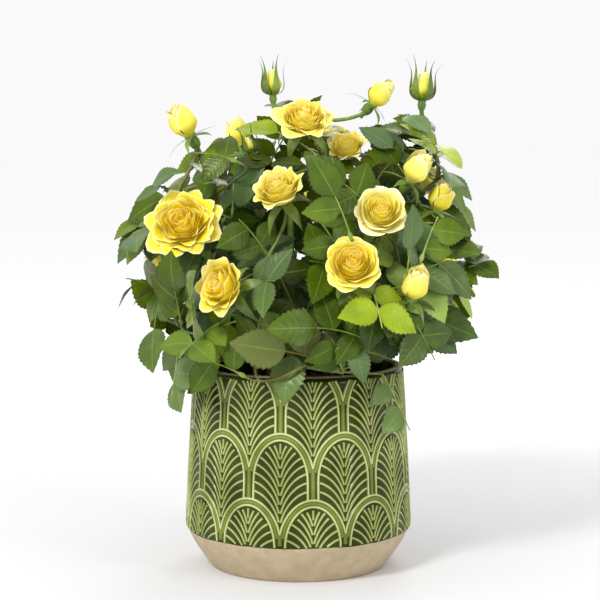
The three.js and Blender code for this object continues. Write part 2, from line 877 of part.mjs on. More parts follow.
// Sepals stand round a bud, from its calyx up past its petals.
function sepalShapes(bloom) {
  const reach = SEPALS.reach[bloom.stage];
  if (!reach) {
    return [];
  }
  const side = anySideOf(bloom.faces);
  const other = bloom.faces.clone().cross(side);
  const base = along(bloom.neck, bloom.faces, bloom.radius * 0.35);
  return Array.from({ length: SEPALS.count }, (_, index) => {
    const angle = ((index + 0.5) / SEPALS.count) * 2 * Math.PI;
    const away = side.clone().multiplyScalar(Math.cos(angle)).addScaledVector(other, Math.sin(angle));
    const direction = bloom.faces.clone().addScaledVector(away, 0.5).normalize();
    const face = squareTo(direction, away);
    const size = bloom.radius;
    return blade(base, direction, face, size * reach, size * SEPALS.width, size * SEPALS.thickness);
  });
}

// One closed shape: a rachis of four sides, and on it leaflets of eight faces that thin out
// from their roots to their edges. The last leaf of a shoot also holds the shoot's twig.
function leafShape(leaf, twig = []) {
  const vertices = [];
  const triangles = [];
  const put = (point) => vertices.push(point) - 1;
  const root = LEAF.leafletRoot / 2;
  const [firstPair, secondPair, end] = leaf.stops;
  const distances = [firstPair - root, firstPair + root, secondPair - root, secondPair + root, end];
  const places = [...twig, leaf.rachisAt(0), ...distances.map((distance) => leaf.rachisAt(distance))];
  const firstLeafStation = places.length - distances.length;
  const headings = places.map((_, index) => {
    const before = places[Math.max(index - 1, 0)];
    return places[Math.min(index + 1, places.length - 1)].clone().sub(before).normalize();
  });
  const corners = [];
  let up = leaf.face;
  for (let index = places.length - 1; index >= 0; index -= 1) {
    up = squareTo(headings[index], index >= firstLeafStation ? leaf.face : up);
    const side = headings[index].clone().cross(up);
    const swell = 1 + SHOOT.swell * Math.min(1, Math.max(0, firstLeafStation - index));
    const aside = (LEAF.rachisWidth / 2) * swell;
    const above = (LEAF.rachisHeight / 2) * swell;
    const corner = (left, high) => put(along(along(places[index], side, left * aside), up, high * above));
    corners[index] = { left: [corner(-1, 1), corner(-1, -1)], right: [corner(1, 1), corner(1, -1)] };
  }
  const quad = (a, b, c, d) => triangles.push([a, b, c], [a, c, d]);
  const addLeaflet = (leaflet, [backTop, backLow], [frontTop, frontLow]) => {
    const mirrored = leaflet.turn > 0;
    const back = put(mirrored ? leaflet.rightEdge : leaflet.leftEdge);
    const front = put(mirrored ? leaflet.leftEdge : leaflet.rightEdge);
    const tip = put(leaflet.tip);
    const faces = [
      [backTop, frontTop, front],
      [backTop, front, tip],
      [backTop, tip, back],
      [backLow, front, frontLow],
      [backLow, tip, front],
      [backLow, back, tip],
      [backTop, back, backLow],
      [front, frontTop, frontLow],
    ];
    triangles.push(...faces.map(([a, b, c]) => (mirrored ? [a, c, b] : [a, b, c])));
  };
  const leafletAt = (distance, turn) => leaf.leaflets.find(
    (leaflet) => leaflet.distance === distance && leaflet.turn === turn,
  );
  for (let index = 0; index + 1 < corners.length; index += 1) {
    const here = corners[index];
    const next = corners[index + 1];
    const distance = { 0: firstPair, 2: secondPair }[index - firstLeafStation];
    quad(here.left[0], here.right[0], next.right[0], next.left[0]);
    quad(here.left[1], next.left[1], next.right[1], here.right[1]);
    for (const [turn, side] of [[-1, 'left'], [1, 'right']]) {
      const leaflet = leafletAt(distance, turn);
      if (leaflet) {
        addLeaflet(leaflet, here[side], next[side]);
      } else if (turn < 0) {
        quad(here.left[0], next.left[0], next.left[1], here.left[1]);
      } else {
        quad(here.right[0], here.right[1], next.right[1], next.right[0]);
      }
    }
  }
  const first = corners[0];
  const last = corners[corners.length - 1];
  quad(first.left[0], first.left[1], first.right[1], first.right[0]);
  const lastLeaflet = leafletAt(end, 0);
  if (lastLeaflet) {
    addLeaflet(lastLeaflet, last.left, last.right);
  } else {
    quad(last.left[0], last.right[0], last.right[1], last.left[1]);
  }
  return geometryOf(vertices, triangles);
}

function foliageShape(mass) {
  const shapes = [limb(mass.stem, STEM.baseRadius, STEM.tipRadius, STEM.sides, mass.stemHeading)];
  for (const shoot of shoots.filter((candidate) => candidate.mass === mass)) {
    const points = [...shoot.points];
    if (shoot.bloom) {
      points.push(along(shoot.bloom.neck, shoot.bloom.faces, shoot.bloom.radius * 0.4));
    }
    if (shoot.bloom) {
      shapes.push(limb(points, SHOOT.baseRadius, SHOOT.tipRadius, SHOOT.sides));
      shapes.push(bloomShape(shoot.bloom), ...sepalShapes(shoot.bloom));
    }
    for (const leaf of shoot.leaves) {
      shapes.push(leafShape(leaf, leaf === shoot.lastLeaf ? points.slice(0, -1) : []));
    }
  }
  return joined(shapes);
}

// ----------------------------------------------------------------------------- assembly

function part(name, geometry, color, roughness) {
  const mesh = new THREE.Mesh(geometry, new THREE.MeshStandardMaterial({ color, roughness, metalness: 0 }));
  mesh.name = name;
  return mesh;
}

const rose = new THREE.Group();
rose.add(part('pot', makePot(), COLOURS.glaze, 0.25));
rose.add(part('soil', makeSoil(), COLOURS.soil, 0.95));
for (const mass of MASSES) {
  const cane = limb(mass.cane, CANE.footRadius, CANE.tipRadius, CANE.sides, UP);
  rose.add(part(`cane_${mass.name}`, cane, COLOURS.bark, 0.7));
  rose.add(part(`foliage_${mass.name}`, foliageShape(mass), COLOURS.foliage, 0.5));
}

export default rose;
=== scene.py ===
"""A potted miniature rose in flower, dressed for its portrait.

The crown is grown by the same seeded rule as the part's solids, then carried on to finer
twigs and more leaves. Growth is worked out in millimetres and every mesh is built in metres.
+Z is up, +X is to the right of the front view and -Y is toward the front.
"""

import json
import math
from dataclasses import dataclass, field

import bpy
import numpy as np
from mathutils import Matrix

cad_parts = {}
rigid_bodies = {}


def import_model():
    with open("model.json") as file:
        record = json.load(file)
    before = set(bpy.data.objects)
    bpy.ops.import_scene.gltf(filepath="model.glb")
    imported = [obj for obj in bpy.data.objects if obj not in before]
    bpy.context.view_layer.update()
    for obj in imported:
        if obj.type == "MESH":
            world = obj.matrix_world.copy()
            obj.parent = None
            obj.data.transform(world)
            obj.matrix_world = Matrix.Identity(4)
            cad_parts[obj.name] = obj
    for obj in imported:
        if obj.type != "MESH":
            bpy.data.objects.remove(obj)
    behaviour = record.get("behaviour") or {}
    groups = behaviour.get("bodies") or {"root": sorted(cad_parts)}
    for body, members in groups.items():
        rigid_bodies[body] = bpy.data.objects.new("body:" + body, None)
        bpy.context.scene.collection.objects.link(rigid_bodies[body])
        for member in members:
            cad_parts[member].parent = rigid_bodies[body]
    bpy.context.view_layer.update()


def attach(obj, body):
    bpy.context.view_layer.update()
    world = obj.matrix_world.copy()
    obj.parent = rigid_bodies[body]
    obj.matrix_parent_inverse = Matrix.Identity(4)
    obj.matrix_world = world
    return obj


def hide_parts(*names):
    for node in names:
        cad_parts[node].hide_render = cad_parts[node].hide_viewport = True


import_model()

MILLIMETRE = 0.001
UP = np.array([0.0, 0.0, 1.0])

# ------------------------------------------------------------------- the part's dimensions

POT_HEIGHT = 141
FOOT_RADIUS = 61.3
BELLY_RADIUS = 78.5
BELLY_HEIGHT = 29
RIM_RADIUS = 72.6
BELLY_CURVE = 1.35
SHOULDER_CURVE = 1.15
POT_WALL = 6
POT_FLOOR = 8
FLOOR_CURVE = 14
SOIL_TOP = 126

# The space that the crown fills: a rounded body, a little flatter from front to back.
CROWN_MIDDLE_X = 3
CROWN_HALF_WIDTH = 131
CROWN_DEPTH_SHARE = 0.92
CROWN_WIDEST = 215
CROWN_UP = 126
CROWN_DOWN = 150
CROWN_ROUNDNESS = 2.2
CROWN_LOWEST = 103
CROWN_HEART = 185
CROWN_REACH = 1.04

CANE_FOOT_RADIUS = 3.2
CANE_TIP_RADIUS = 2.5
CANE_SHARES = (0.42, 0.8)
CANE_TIP_DEPTH = 7
STEM_FORKS = (0.3, 0.55, 0.8, 1)
SHOOT_FORKS = (0.35, 0.65)
SHOOT_STEPS = 3

PETIOLE = 10
PAIR_SPACING = 16
TERMINAL_SPACING = 13
DROOP = 0.2
LEAFLET_LENGTHS = (22, 27, 33)
LEAFLET_WIDTH_SHARE = 0.84
WIDEST_SHARE = 0.45
PAIR_ANGLE = 1.22
FOLD = 0.2

LEAF_SPACING = 17
LEAF_TURN = 2.4
LEAF_TRIES = 12
FEWEST_LEAFLETS = 3
LEAVES_ON_A_SHOOT = 3
FIRST_LEAF_UNDER_A_BLOOM = 22
LEAF_DEPTH = 15
LEAF_RISE = 0.45
LEAF_TILT = 0.9
OUTWARD_RISE = 0.6
BACK_BEGINS = 30

# A side leaf's lean along its shoot and out of the crown, and what facing out is worth to it.
LEAN_FORWARD = 0.5
LEAN_OUTWARD = 0.25
OUTWARD_WORTH = 0.8

# How much light a leaflet takes from those near it, and over what area.
SHADE = 0.7
SHADE_AREA = 260

# How far the last leaf of a shoot may turn away from straight out of the crown.
FURTHEST_SPREAD = 0.4
OUTER_SPREAD = 0.8
SHELL_SPREAD = 1.6

# How far leaves and shoots keep from the pot, the canes, the blossom and their mass's sides.
LEAF_OFF_POT = 2.2
LEAF_OFF_CANES = 4
LEAF_MARGIN = 0.75
SHOOT_OFF_POT = 2.5
SHOOT_OFF_CANES = 3
SHOOT_MARGIN = 1.85
BLOOM_HOLD = 0.8
BLOOM_CLEARANCE = 3.5
BLOOM_SHOWN = 0.72

# How far round a leaflet other leaflets and twigs are looked for, which might touch it.
LEAFLET_REACH = 24
LEAFLETS_WITHIN = 38
TWIGS_WITHIN = 50

# Where each sequence of random numbers starts.
BLOOM_SHOOT_SEEDS = 100
SHELL_SEEDS = 200
OUTER_TIP_SEEDS = 900
SOIL_SEED = 3001
BLOSSOM_SEED = 5001
TWIG_SEED = 7001
CANE_SEED = 7101
LEAF_SEED = 9001


@dataclass
class Pass:
    """One round of growth: tips set evenly over a shell of the crown where there is room.

    The shell lies at a share of the crown's reach, and a tip needs a clearing round it. Scales
    are the smallest and the largest leaf, and overlap is how far a leaf may leave its mass. A
    fine pass also forks from other shoots, and facing turns its leaves to the front or the back.
    """
    share: float
    tips: int
    clearing: float
    scales: tuple = (0.88, 1.14)
    overlap: float = -LEAF_MARGIN
    fine: bool = False
    facing: float = 0.0


PASSES = [Pass(0.97, 150, 28), Pass(0.8, 130, 34), Pass(0.99, 250, 31)]
OUTER_PASS = Pass(1.0, 0, 0, (0.95, 1.25), 16, True, 0.8)
FINE_PASSES = [
    Pass(0.95, 300, 18, (0.98, 1.3), 16, True, 0.6),
    Pass(0.99, 420, 16, (0.9, 1.25), 16, True, 0.6),
    Pass(0.78, 240, 18, (0.9, 1.2), 20, True, 0.6),
]

MASS_MIDDLES = {
    "top": (-6, 0, 302),
    "left": (-90, -14, 262),
    "right": (94, -6, 268),
    "front_left": (-44, -84, 205),
    "front_right": (54, -84, 215),
    "low_left": (-92, 12, 170),
    "low_right": (94, 6, 172),
    "low_front": (4, -78, 150),
    "back_left": (-50, 80, 215),
    "back_right": (54, 80, 215),
}

# The blossom that stands out of the front: stage, middle, radius, the way it faces, and how
# golden it is.
FRONT_BLOSSOM = [
    ("tight", (-18, 0, 336), 8, (-0.05, 0, 1), 0.35),
    ("tight", (86, 0, 333), 9, (0.05, 0, 1), 0.3),
    ("tight", (-33, -5, 294), 6, (-0.3, -0.1, 0.95), 0.3),
    ("bud", (56, 2, 327), 11, (0.65, -0.2, 0.75), 0.45),
    ("bud", (-79, -2, 307), 12.5, (-0.5, -0.15, 0.85), 0.45),
    ("bud", (80, -30, 276), 12, (0.55, -0.2, 0.8), 0.15),
    ("bud", (97, -22, 256), 11, (0.3, -0.3, 0.9), 0.7),
    ("bud", (76, -78, 201), 12, (0.2, -0.35, 0.92), 0.3),
    ("cup", (-13, -62, 265), 18, (-0.3, -0.55, 0.78), 0.55),
    ("cup", (-50, -88, 203), 19, (-0.65, -0.7, 0.3), 0.75),
    ("cup", (34, 6, 292), 14, (-0.2, -0.6, 0.75), 0.3),
    ("full", (4, -20, 313), 20, (0.05, -0.62, 0.78), 0.7),
    ("open", (54, -74, 252), 19.5, (0, -0.85, 0.52), 0.0),
    ("full", (-78, -50, 243), 25, (-0.15, -0.9, 0.4), 0.9),
    ("open", (35, -100, 219), 20.5, (0, -0.85, 0.52), 0.8),
]
BACK_BLOSSOM = [
    ("open", (22, 76, 298), 19, 0.7),
    ("open", (-64, 98, 238), 21, 0.5),
    ("open", (62, 100, 212), 19, 0.8),
    ("cup", (4, 112, 246), 17, 0.6),
    ("cup", (92, 60, 268), 16, 0.5),
    ("cup", (-98, 64, 216), 17, 0.7),
    ("bud", (-44, 66, 298), 12, 0.4),
    ("bud", (106, 64, 204), 11, 0.5),
    ("bud", (-6, 114, 186), 11, 0.4),
]
NECKS = {"full": -0.62, "open": -0.62, "cup": -0.75, "bud": -1.05, "tight": -1.3}

# Where the leaves reach furthest, and then the places that finer shoots fill in.
FURTHEST_TIPS = [
    (-122, -6, 243), (-116, 4, 214), (-118, -8, 164), (-96, -20, 134), (-90, 4, 298),
    (-44, 0, 312), (16, 6, 330), (112, -4, 280), (124, -6, 234), (118, -8, 172),
    (92, -18, 138), (-62, -76, 118), (-12, -92, 128), (66, -74, 138),
]
OUTER_TIPS = [
    (129, -4, 262), (130, -14, 246), (129, 2, 232), (124, -22, 222), (112, -8, 292),
    (104, -20, 300), (118, -24, 276), (124, 14, 250), (116, 22, 226), (120, -30, 240),
    (92, -6, 312), (100, -12, 318), (82, -8, 314), (-30, -8, 322), (-48, -12, 310),
    (-36, 8, 316), (-22, -14, 320), (-129, -6, 252), (-124, -14, 236), (-110, -16, 268),
    (-120, -10, 190), (-104, -24, 286), (-96, -30, 150), (124, -14, 196), (122, -8, 186),
    (-42, -6, 304), (-52, -14, 298), (-34, -18, 300), (127, -12, 171), (118, -20, 158),
    (-106, -24, 133), (-86, -40, 124), (-76, -52, 112), (-84, -36, 108), (108, 4, 214),
    (104, -6, 224), (96, 8, 262), (2, -30, 222), (131, -10, 240), (128, -10, 272),
    (-127, -10, 250), (-126, 0, 256), (-124, -18, 246), (129, -22, 250), (130, 6, 236),
]

# Where the sky shows through: how far to the right, how high, and how far it reaches from there.
HOLLOWS = [
    (-44, 334, 21), (-64, 307, 10), (-103, 291, 19), (-113, 272, 12), (1, 343, 13),
    (33, 338, 17), (36, 318, 9), (108, 312, 11), (102, 128, 26), (128, 140, 22),
    (-118, 158, 8), (-100, 120, 10), (-38, 128, 11), (28, 129, 12),
]

# ------------------------------------------------------------------------------ small tools


def seeded_random(seed):
    """Numbers from 0 to 1 that are the same on every run."""
    state = (seed * 7919 + 104729) % 2147483647

    def draw():
        nonlocal state
        state = state * 48271 % 2147483647
        return state / 2147483647

    return draw


def unit(vector):
    return vector / np.linalg.norm(vector, axis=-1, keepdims=True)


def square_to(axis, direction):
    """The part of a direction that is square to an axis, at unit length."""
    return unit(direction - axis * np.dot(axis, direction))


def cross(first, second):
    ax, ay, az = first[..., 0], first[..., 1], first[..., 2]
    bx, by, bz = second[..., 0], second[..., 1], second[..., 2]
    return np.stack([ay * bz - az * by, az * bx - ax * bz, ax * by - ay * bx], axis=-1)


def any_side_of(axis):
    return square_to(axis, UP if abs(axis[2]) < 0.9 else np.array([1.0, 0, 0]))


def spoke(axis, angle):
    """A direction square to an axis, at an angle round it."""
    side = any_side_of(axis)
    return side * math.cos(angle) + cross(axis, side) * math.sin(angle)


def smooth(share):
    share = np.clip(share, 0, 1)
    return share * share * (3 - 2 * share)


class Curve:
    """A Bezier curve through space."""

    def __init__(self, *controls):
        self.controls = np.array(controls, float)

    def at(self, share):
        points = self.controls
        while len(points) > 1:
            points = points[:-1] + (points[1:] - points[:-1]) * share
        return points[0]

    def heading(self, share):
        low, high = max(0, share - 1e-4), min(1, share + 1e-4)
        return unit(self.at(high) - self.at(low))

    def points(self, low, high, steps):
        return np.array([self.at(low + (high - low) * step / steps) for step in range(steps + 1)])

    def length(self):
        return np.linalg.norm(np.diff(self.points(0, 1, 200), axis=0), axis=1).sum()


# --------------------------------------------------------------------- the pot and the crown


def pot_outside(height):
    height = np.asarray(height, float)
    share = np.clip((height - BELLY_HEIGHT) / (POT_HEIGHT - BELLY_HEIGHT), 0, None)
    upper = BELLY_RADIUS + (RIM_RADIUS - BELLY_RADIUS) * share**SHOULDER_CURVE
    rise = np.clip(1 - height / BELLY_HEIGHT, 0, 1)
    lower = FOOT_RADIUS + (BELLY_RADIUS - FOOT_RADIUS) * (1 - rise**BELLY_CURVE)
    return np.where(height >= BELLY_HEIGHT, upper, lower)


def pot_inside(height):
    height = np.asarray(height, float)
    drop = np.clip(1 - (height - POT_FLOOR) / BELLY_HEIGHT, 0, None)
    return pot_outside(np.maximum(height, BELLY_HEIGHT)) - POT_WALL - FLOOR_CURVE * drop**2


def clear_of_pot(points, clearance):
    radius = np.hypot(points[..., 0], points[..., 1])
    height = points[..., 2]
    inside = (radius < pot_inside(height) - clearance) & (height > SOIL_TOP + clearance)
    return (height > POT_HEIGHT + clearance) | (radius > pot_outside(height) + clearance) | inside


def reach_of(points):
    """0 at the crown's middle and 1 on its outside."""
    across = (points[..., 0] - CROWN_MIDDLE_X) / CROWN_HALF_WIDTH
    deep = points[..., 1] / (CROWN_HALF_WIDTH * CROWN_DEPTH_SHARE)
    rise = points[..., 2] - CROWN_WIDEST
    high = np.abs(rise) / np.where(rise > 0, CROWN_UP, CROWN_DOWN)
    level = np.hypot(across, deep) ** CROWN_ROUNDNESS
    return (level + high**CROWN_ROUNDNESS) ** (1 / CROWN_ROUNDNESS)


def in_crown(points):
    return (reach_of(points) < CROWN_REACH) & (points[..., 2] > CROWN_LOWEST)


def outward_at(point):
    x, y, z = point
    return unit(np.array([x - CROWN_MIDDLE_X, y, OUTWARD_RISE * (z - CROWN_HEART)]))


def nearer_view(point):
    """The way to the front of the plant, or to its back for what grows there."""
    return np.array([0, -1 if point[1] < BACK_BEGINS else 1, 0])


class Mass:
    """A mass of foliage: the space nearer its middle than any other's, and what grows there."""

    def __init__(self, name, middle):
        self.name = name
        self.middle = np.array(middle, float)
        self.path = self.cane_path()
        self.shoots = []

    def cane_path(self):
        """A cane rises steeply from its foot, which lies further in under a higher mass."""
        x, y, z = self.middle
        rise = z - SOIL_TOP
        foot_share = 4 / math.hypot(x, y) + 0.5 - rise / 600
        foot = np.array([x * foot_share, y * foot_share, SOIL_TOP])
        return Curve(foot, foot + UP * 0.62 * rise, self.middle)

    def depth(self, points):
        """How deep points lie inside this mass's space, below zero outside it."""
        own = ((points - self.middle) ** 2).sum(-1)
        depths = [
            (((points - other.middle) ** 2).sum(-1) - own)
            / (2 * np.linalg.norm(other.middle - self.middle))
            for other in masses
            if other is not self
        ]
        return np.min(depths, axis=0)


masses = [Mass(name, middle) for name, middle in MASS_MIDDLES.items()]
for mass in masses:
    share, most = CANE_SHARES
    while share < most and mass.depth(mass.path.at(share)) < CANE_TIP_DEPTH:
        share += 0.01
    mass.cane_end = share
cane_samples = np.concatenate([mass.path.points(0, mass.cane_end, 40) for mass in masses])


def mass_at(point):
    return min(masses, key=lambda mass: np.linalg.norm(mass.middle - point))


def clear_of_canes(points, clearance):
    offsets = points[..., None, :] - cane_samples
    return ((offsets**2).sum(-1) > (CANE_FOOT_RADIUS + clearance) ** 2).all(-1)


# ----------------------------------------------------------------------------------- blossom


@dataclass
class Bloom:
    stage: str
    middle: np.ndarray
    radius: float
    faces: np.ndarray
    gold: float
    seen_from: np.ndarray

    def __post_init__(self):
        self.neck = self.middle + self.faces * NECKS[self.stage] * self.radius
        self.mass = mass_at(self.neck)


blossom = [
    Bloom(stage, np.array(middle, float), radius, unit(np.array(faces, float)), gold,
          unit(np.array([0, -1, 0.1])))
    for stage, middle, radius, faces, gold in FRONT_BLOSSOM
]
for stage, middle, radius, gold in BACK_BLOSSOM:
    middle = np.array(middle, float)
    away = unit(np.array([middle[0] - CROWN_MIDDLE_X, middle[1], 0]))
    faces = unit(outward_at(middle) + UP * (1 if stage == "bud" else 0.3))
    blossom.append(Bloom(stage, middle, radius, faces, gold, away))
bloom_middles = np.array([bloom.middle for bloom in blossom])
bloom_radii = np.array([bloom.radius for bloom in blossom], float)
bloom_views = np.array([bloom.seen_from for bloom in blossom])


def leaves_blossom_in_view(points, share=BLOOM_SHOWN):
    offsets = points[..., None, :] - bloom_middles
    ahead = (offsets * bloom_views).sum(-1)
    aside = np.sqrt(np.maximum(0, (offsets**2).sum(-1) - ahead**2))
    return ((ahead < 0) | (aside > bloom_radii * share)).all(-1)


def leaves_hollows_open(points):
    across, up, reach = np.array(HOLLOWS, float).T
    return (np.hypot(points[..., :1] - across, points[..., 2:] - up) > reach).all(-1)


def clear_of_blossom(points, mass):
    least = np.array([
        bloom.radius * BLOOM_HOLD if bloom.mass is mass else bloom.radius + BLOOM_CLEARANCE
        for bloom in blossom
    ])
    offsets = points[..., None, :] - bloom_middles
    return (np.sqrt((offsets**2).sum(-1)) > least).all(-1)


# --------------------------------------------------------------------------- shoots and leaves


@dataclass
class Leaflet:
    base: np.ndarray
    direction: np.ndarray
    face: np.ndarray
    length: float

    def __post_init__(self):
        self.side = cross(self.direction, self.face)
        self.half_width = self.length * LEAFLET_WIDTH_SHARE / 2
        widest = self.base + self.direction * self.length * WIDEST_SHARE
        self.tip = self.base + self.direction * self.length
        self.middle = self.base + self.direction * self.length / 2
        self.left = widest - self.side * self.half_width
        self.right = widest + self.side * self.half_width

    def triangles(self):
        return np.array([[self.base, self.left, self.tip], [self.base, self.right, self.tip]])

    def edges(self):
        corners = [self.base, self.left, self.tip, self.right, self.base, self.tip]
        return np.stack([corners[:-1], corners[1:]], axis=1)

    def samples(self):
        steps = np.array([0.1, 0.28, 0.46, 0.64, 0.82, 1])[:, None, None]
        sides = np.array([-1, -0.5, 0, 0.5, 1])[None, :, None]
        narrowing = np.minimum(steps / WIDEST_SHARE, (1 - steps) / (1 - WIDEST_SHARE))
        along = self.base + self.direction * self.length * steps
        return (along + self.side * self.half_width * narrowing * sides).reshape(-1, 3)


class Leaf:
    """A compound leaf: two pairs of leaflets and a last one, on a rachis that droops."""

    def __init__(self, base, direction, face, scale):
        self.base, self.direction, self.face, self.scale = base, direction, face, scale
        self.stops = (PETIOLE, PETIOLE + PAIR_SPACING, PETIOLE + PAIR_SPACING + TERMINAL_SPACING)
        self.share = 1.0
        self.leaflets = []
        for station, distance in enumerate(self.stops):
            heading = unit(self.rachis_at(distance + 1) - self.rachis_at(distance - 1))
            flat_face = square_to(heading, face)
            side = cross(heading, flat_face)
            for turn in (0,) if station == 2 else (-1, 1):
                angle = PAIR_ANGLE * turn
                pointing = heading * math.cos(angle) + side * math.sin(angle)
                folded = square_to(pointing, flat_face - side * FOLD * turn)
                length = LEAFLET_LENGTHS[station] * scale
                self.leaflets.append(Leaflet(self.rachis_at(distance), pointing, folded, length))

    def rachis_at(self, distance):
        fall = DROOP * self.scale * distance * distance / 40
        return self.base + self.direction * distance * self.scale - UP * fall

    def twigs(self):
        points = np.array([self.rachis_at(self.stops[2] * share) for share in (0.1, 0.4, 0.7, 1)])
        return np.stack([points[:-1], points[1:]], axis=1)


@dataclass
class Shoot:
    """A twig from its fork on a stem or another shoot, with how much of it may stay and stays."""
    mass: Mass
    path: Curve
    length: float
    fine: bool
    parent: "Shoot" = None
    fork: float = 0.0
    bloom: Bloom = None
    leaves: list = field(default_factory=list)
    limit: float = 1.0
    kept: float = 1.0


def pierced(segments, triangles):
    """Which triangles are passed through by any of the segments."""
    steps = (segments[:, 1] - segments[:, 0])[:, None]
    starts = segments[:, 0][:, None]
    corner, first, second = triangles[:, 0], triangles[:, 1], triangles[:, 2]
    one, two = first - corner, second - corner
    across = cross(steps, two)
    volume = (one * across).sum(-1)
    volume = np.where(np.abs(volume) < 1e-9, 1e-9, volume)
    offset = starts - corner
    u = (offset * across).sum(-1) / volume
    turned = cross(offset, one)
    v = (steps * turned).sum(-1) / volume
    where = (two * turned).sum(-1) / volume
    hit = (u >= 0) & (v >= 0) & (u + v <= 1) & (where >= 0) & (where <= 1)
    return hit.any(0)


class Canopy:
    """Everything that has grown so far, as arrays that the tests read."""

    def __init__(self):
        self.middles = np.empty((0, 3))
        self.triangles = np.empty((0, 2, 3, 3))
        self.edges = np.empty((0, 5, 2, 3))
        self.leaf_mass = np.empty(0, int)
        self.twigs = np.empty((0, 2, 3))
        self.twig_mass = np.empty(0, int)

    def add_leaflets(self, leaflets, mass):
        for leaflet in leaflets:
            self.middles = np.concatenate([self.middles, [leaflet.middle]])
            self.triangles = np.concatenate([self.triangles, [leaflet.triangles()]])
            self.edges = np.concatenate([self.edges, [leaflet.edges()]])
            self.leaf_mass = np.append(self.leaf_mass, masses.index(mass))

    def add_twigs(self, twigs, mass):
        self.twigs = np.concatenate([self.twigs, twigs])
        self.twig_mass = np.append(self.twig_mass, np.full(len(twigs), masses.index(mass)))

    def leaves_near(self, point, distance, mass):
        near = ((self.middles - point) ** 2).sum(-1) < distance**2
        return near if mass is None else near & (self.leaf_mass == masses.index(mass))

    def stops_twigs(self, twigs, mass):
        middle = twigs.mean((0, 1))
        reach = np.abs(twigs - middle).max() * 1.8 + LEAFLET_REACH
        near = self.triangles[self.leaves_near(middle, reach, mass)].reshape(-1, 3, 3)
        return len(near) > 0 and pierced(twigs, near).any()

    def stops_leaflet(self, leaflet, mass):
        near = self.leaves_near(leaflet.middle, LEAFLETS_WITHIN, mass)
        if near.any():
            if pierced(leaflet.edges(), self.triangles[near].reshape(-1, 3, 3)).any():
                return True
            if pierced(self.edges[near].reshape(-1, 2, 3), leaflet.triangles()).any():
                return True
        close = ((self.twigs.mean(1) - leaflet.middle) ** 2).sum(-1) < TWIGS_WITHIN**2
        if mass is not None:
            close &= self.twig_mass == masses.index(mass)
        return close.any() and pierced(self.twigs[close], leaflet.triangles()).any()

    def crowding(self, points):
        gaps = ((points[:, None] - self.middles) ** 2).sum(-1)
        return np.exp(-gaps / SHADE_AREA).sum(-1)


canopy = Canopy()


def point_fits(points, mass, overlap):
    fits = (mass.depth(points) > -overlap) & clear_of_pot(points, LEAF_OFF_POT)
    return fits.all() and clear_of_canes(points, LEAF_OFF_CANES).all()


def keep_what_fits(leaf, mass, overlap):
    """Drops each leaflet that would leave the crown or the mass's space, or touch anything."""
    own = mass if overlap < 0 else None
    rachis = np.array([leaf.rachis_at(leaf.stops[2] * share) for share in (0.25, 0.5, 0.75, 1)])
    if not point_fits(rachis, mass, overlap) or canopy.stops_twigs(leaf.twigs(), own):
        leaf.leaflets = []
        return leaf
    kept = []
    for leaflet in leaf.leaflets:
        points = leaflet.samples()
        seemly = in_crown(points).all() and leaves_blossom_in_view(points).all()
        if seemly and clear_of_blossom(points, mass).all() and point_fits(points, mass, overlap):
            if not canopy.stops_leaflet(leaflet, own):
                kept.append(leaflet)
    leaf.leaflets = kept
    return leaf


def light_on(leaf):
    """How much light a leaf finds: many leaflets, away from those that are there already."""
    if not leaf.leaflets:
        return 0
    points = np.array([leaflet.middle for leaflet in leaf.leaflets])
    return (1 - SHADE * canopy.crowding(points)).sum()


def add_leaf(shoot, leaf, share):
    leaf.share = share
    canopy.add_leaflets(leaf.leaflets, shoot.mass)
    canopy.add_twigs(leaf.twigs(), shoot.mass)
    shoot.leaves.append(leaf)


def leaf_face(place, random, facing):
    """A leaf faces outward and up, and on the flanks it may turn to the front or the back."""
    tilt = np.array([random() - 0.5, random() - 0.5, random() - 0.5])
    face = outward_at(place) + UP * LEAF_RISE + tilt * LEAF_TILT
    return face + nearer_view(place) * facing


def leaf_scale(scales, random):
    return scales[0] + (scales[1] - scales[0]) * random()


def fork_points(mass, fine):
    """Where a new shoot may leave its mass: on the stem, and for a fine one on any shoot."""
    stem = [mass.cane_end + (1 - mass.cane_end) * fork for fork in STEM_FORKS]
    forks = [(mass.path.at(share), mass.path.heading(share), None, share) for share in stem]
    if fine:
        for shoot in mass.shoots:
            forks += [(shoot.path.at(share), shoot.path.heading(share), shoot, share)
                      for share in SHOOT_FORKS]
    return forks


def grow_shoot(mass, end, end_direction, settings):
    def cost(fork):
        start, heading = fork[:2]
        to_end = end - start
        distance = np.linalg.norm(to_end)
        return distance * (1.5 - 0.5 * np.dot(heading, to_end / distance))

    start, heading, parent, share = min(fork_points(mass, settings.fine), key=cost)
    distance = np.linalg.norm(end - start)
    turn_in = end - end_direction * distance * 0.35
    path = Curve(start, start + heading * distance * 0.25, turn_in, end)
    points = path.points(0, 1, 5 * SHOOT_STEPS)
    fits = (mass.depth(points) > SHOOT_MARGIN - (settings.overlap + LEAF_MARGIN)).all()
    for bloom in blossom:
        if bloom.mass is not mass:
            gaps = np.linalg.norm(points - bloom.middle, axis=1)
            fits = fits and (gaps > bloom.radius + BLOOM_CLEARANCE).all()
    fits = fits and clear_of_pot(points, SHOOT_OFF_POT).all()
    fits = fits and (settings.fine or clear_of_canes(points, SHOOT_OFF_CANES).all())
    own = None if settings.fine else mass
    bones = path.points(0, 1, SHOOT_STEPS)
    if not fits or canopy.stops_twigs(np.stack([bones[:-1], bones[1:]], axis=1), own):
        return None
    return Shoot(mass, path, path.length(), settings.fine, parent=parent, fork=share)


def add_shoot(shoot):
    bones = shoot.path.points(0, 1, SHOOT_STEPS)
    canopy.add_twigs(np.stack([bones[:-1], bones[1:]], axis=1), shoot.mass)
    shoot.mass.shoots.append(shoot)


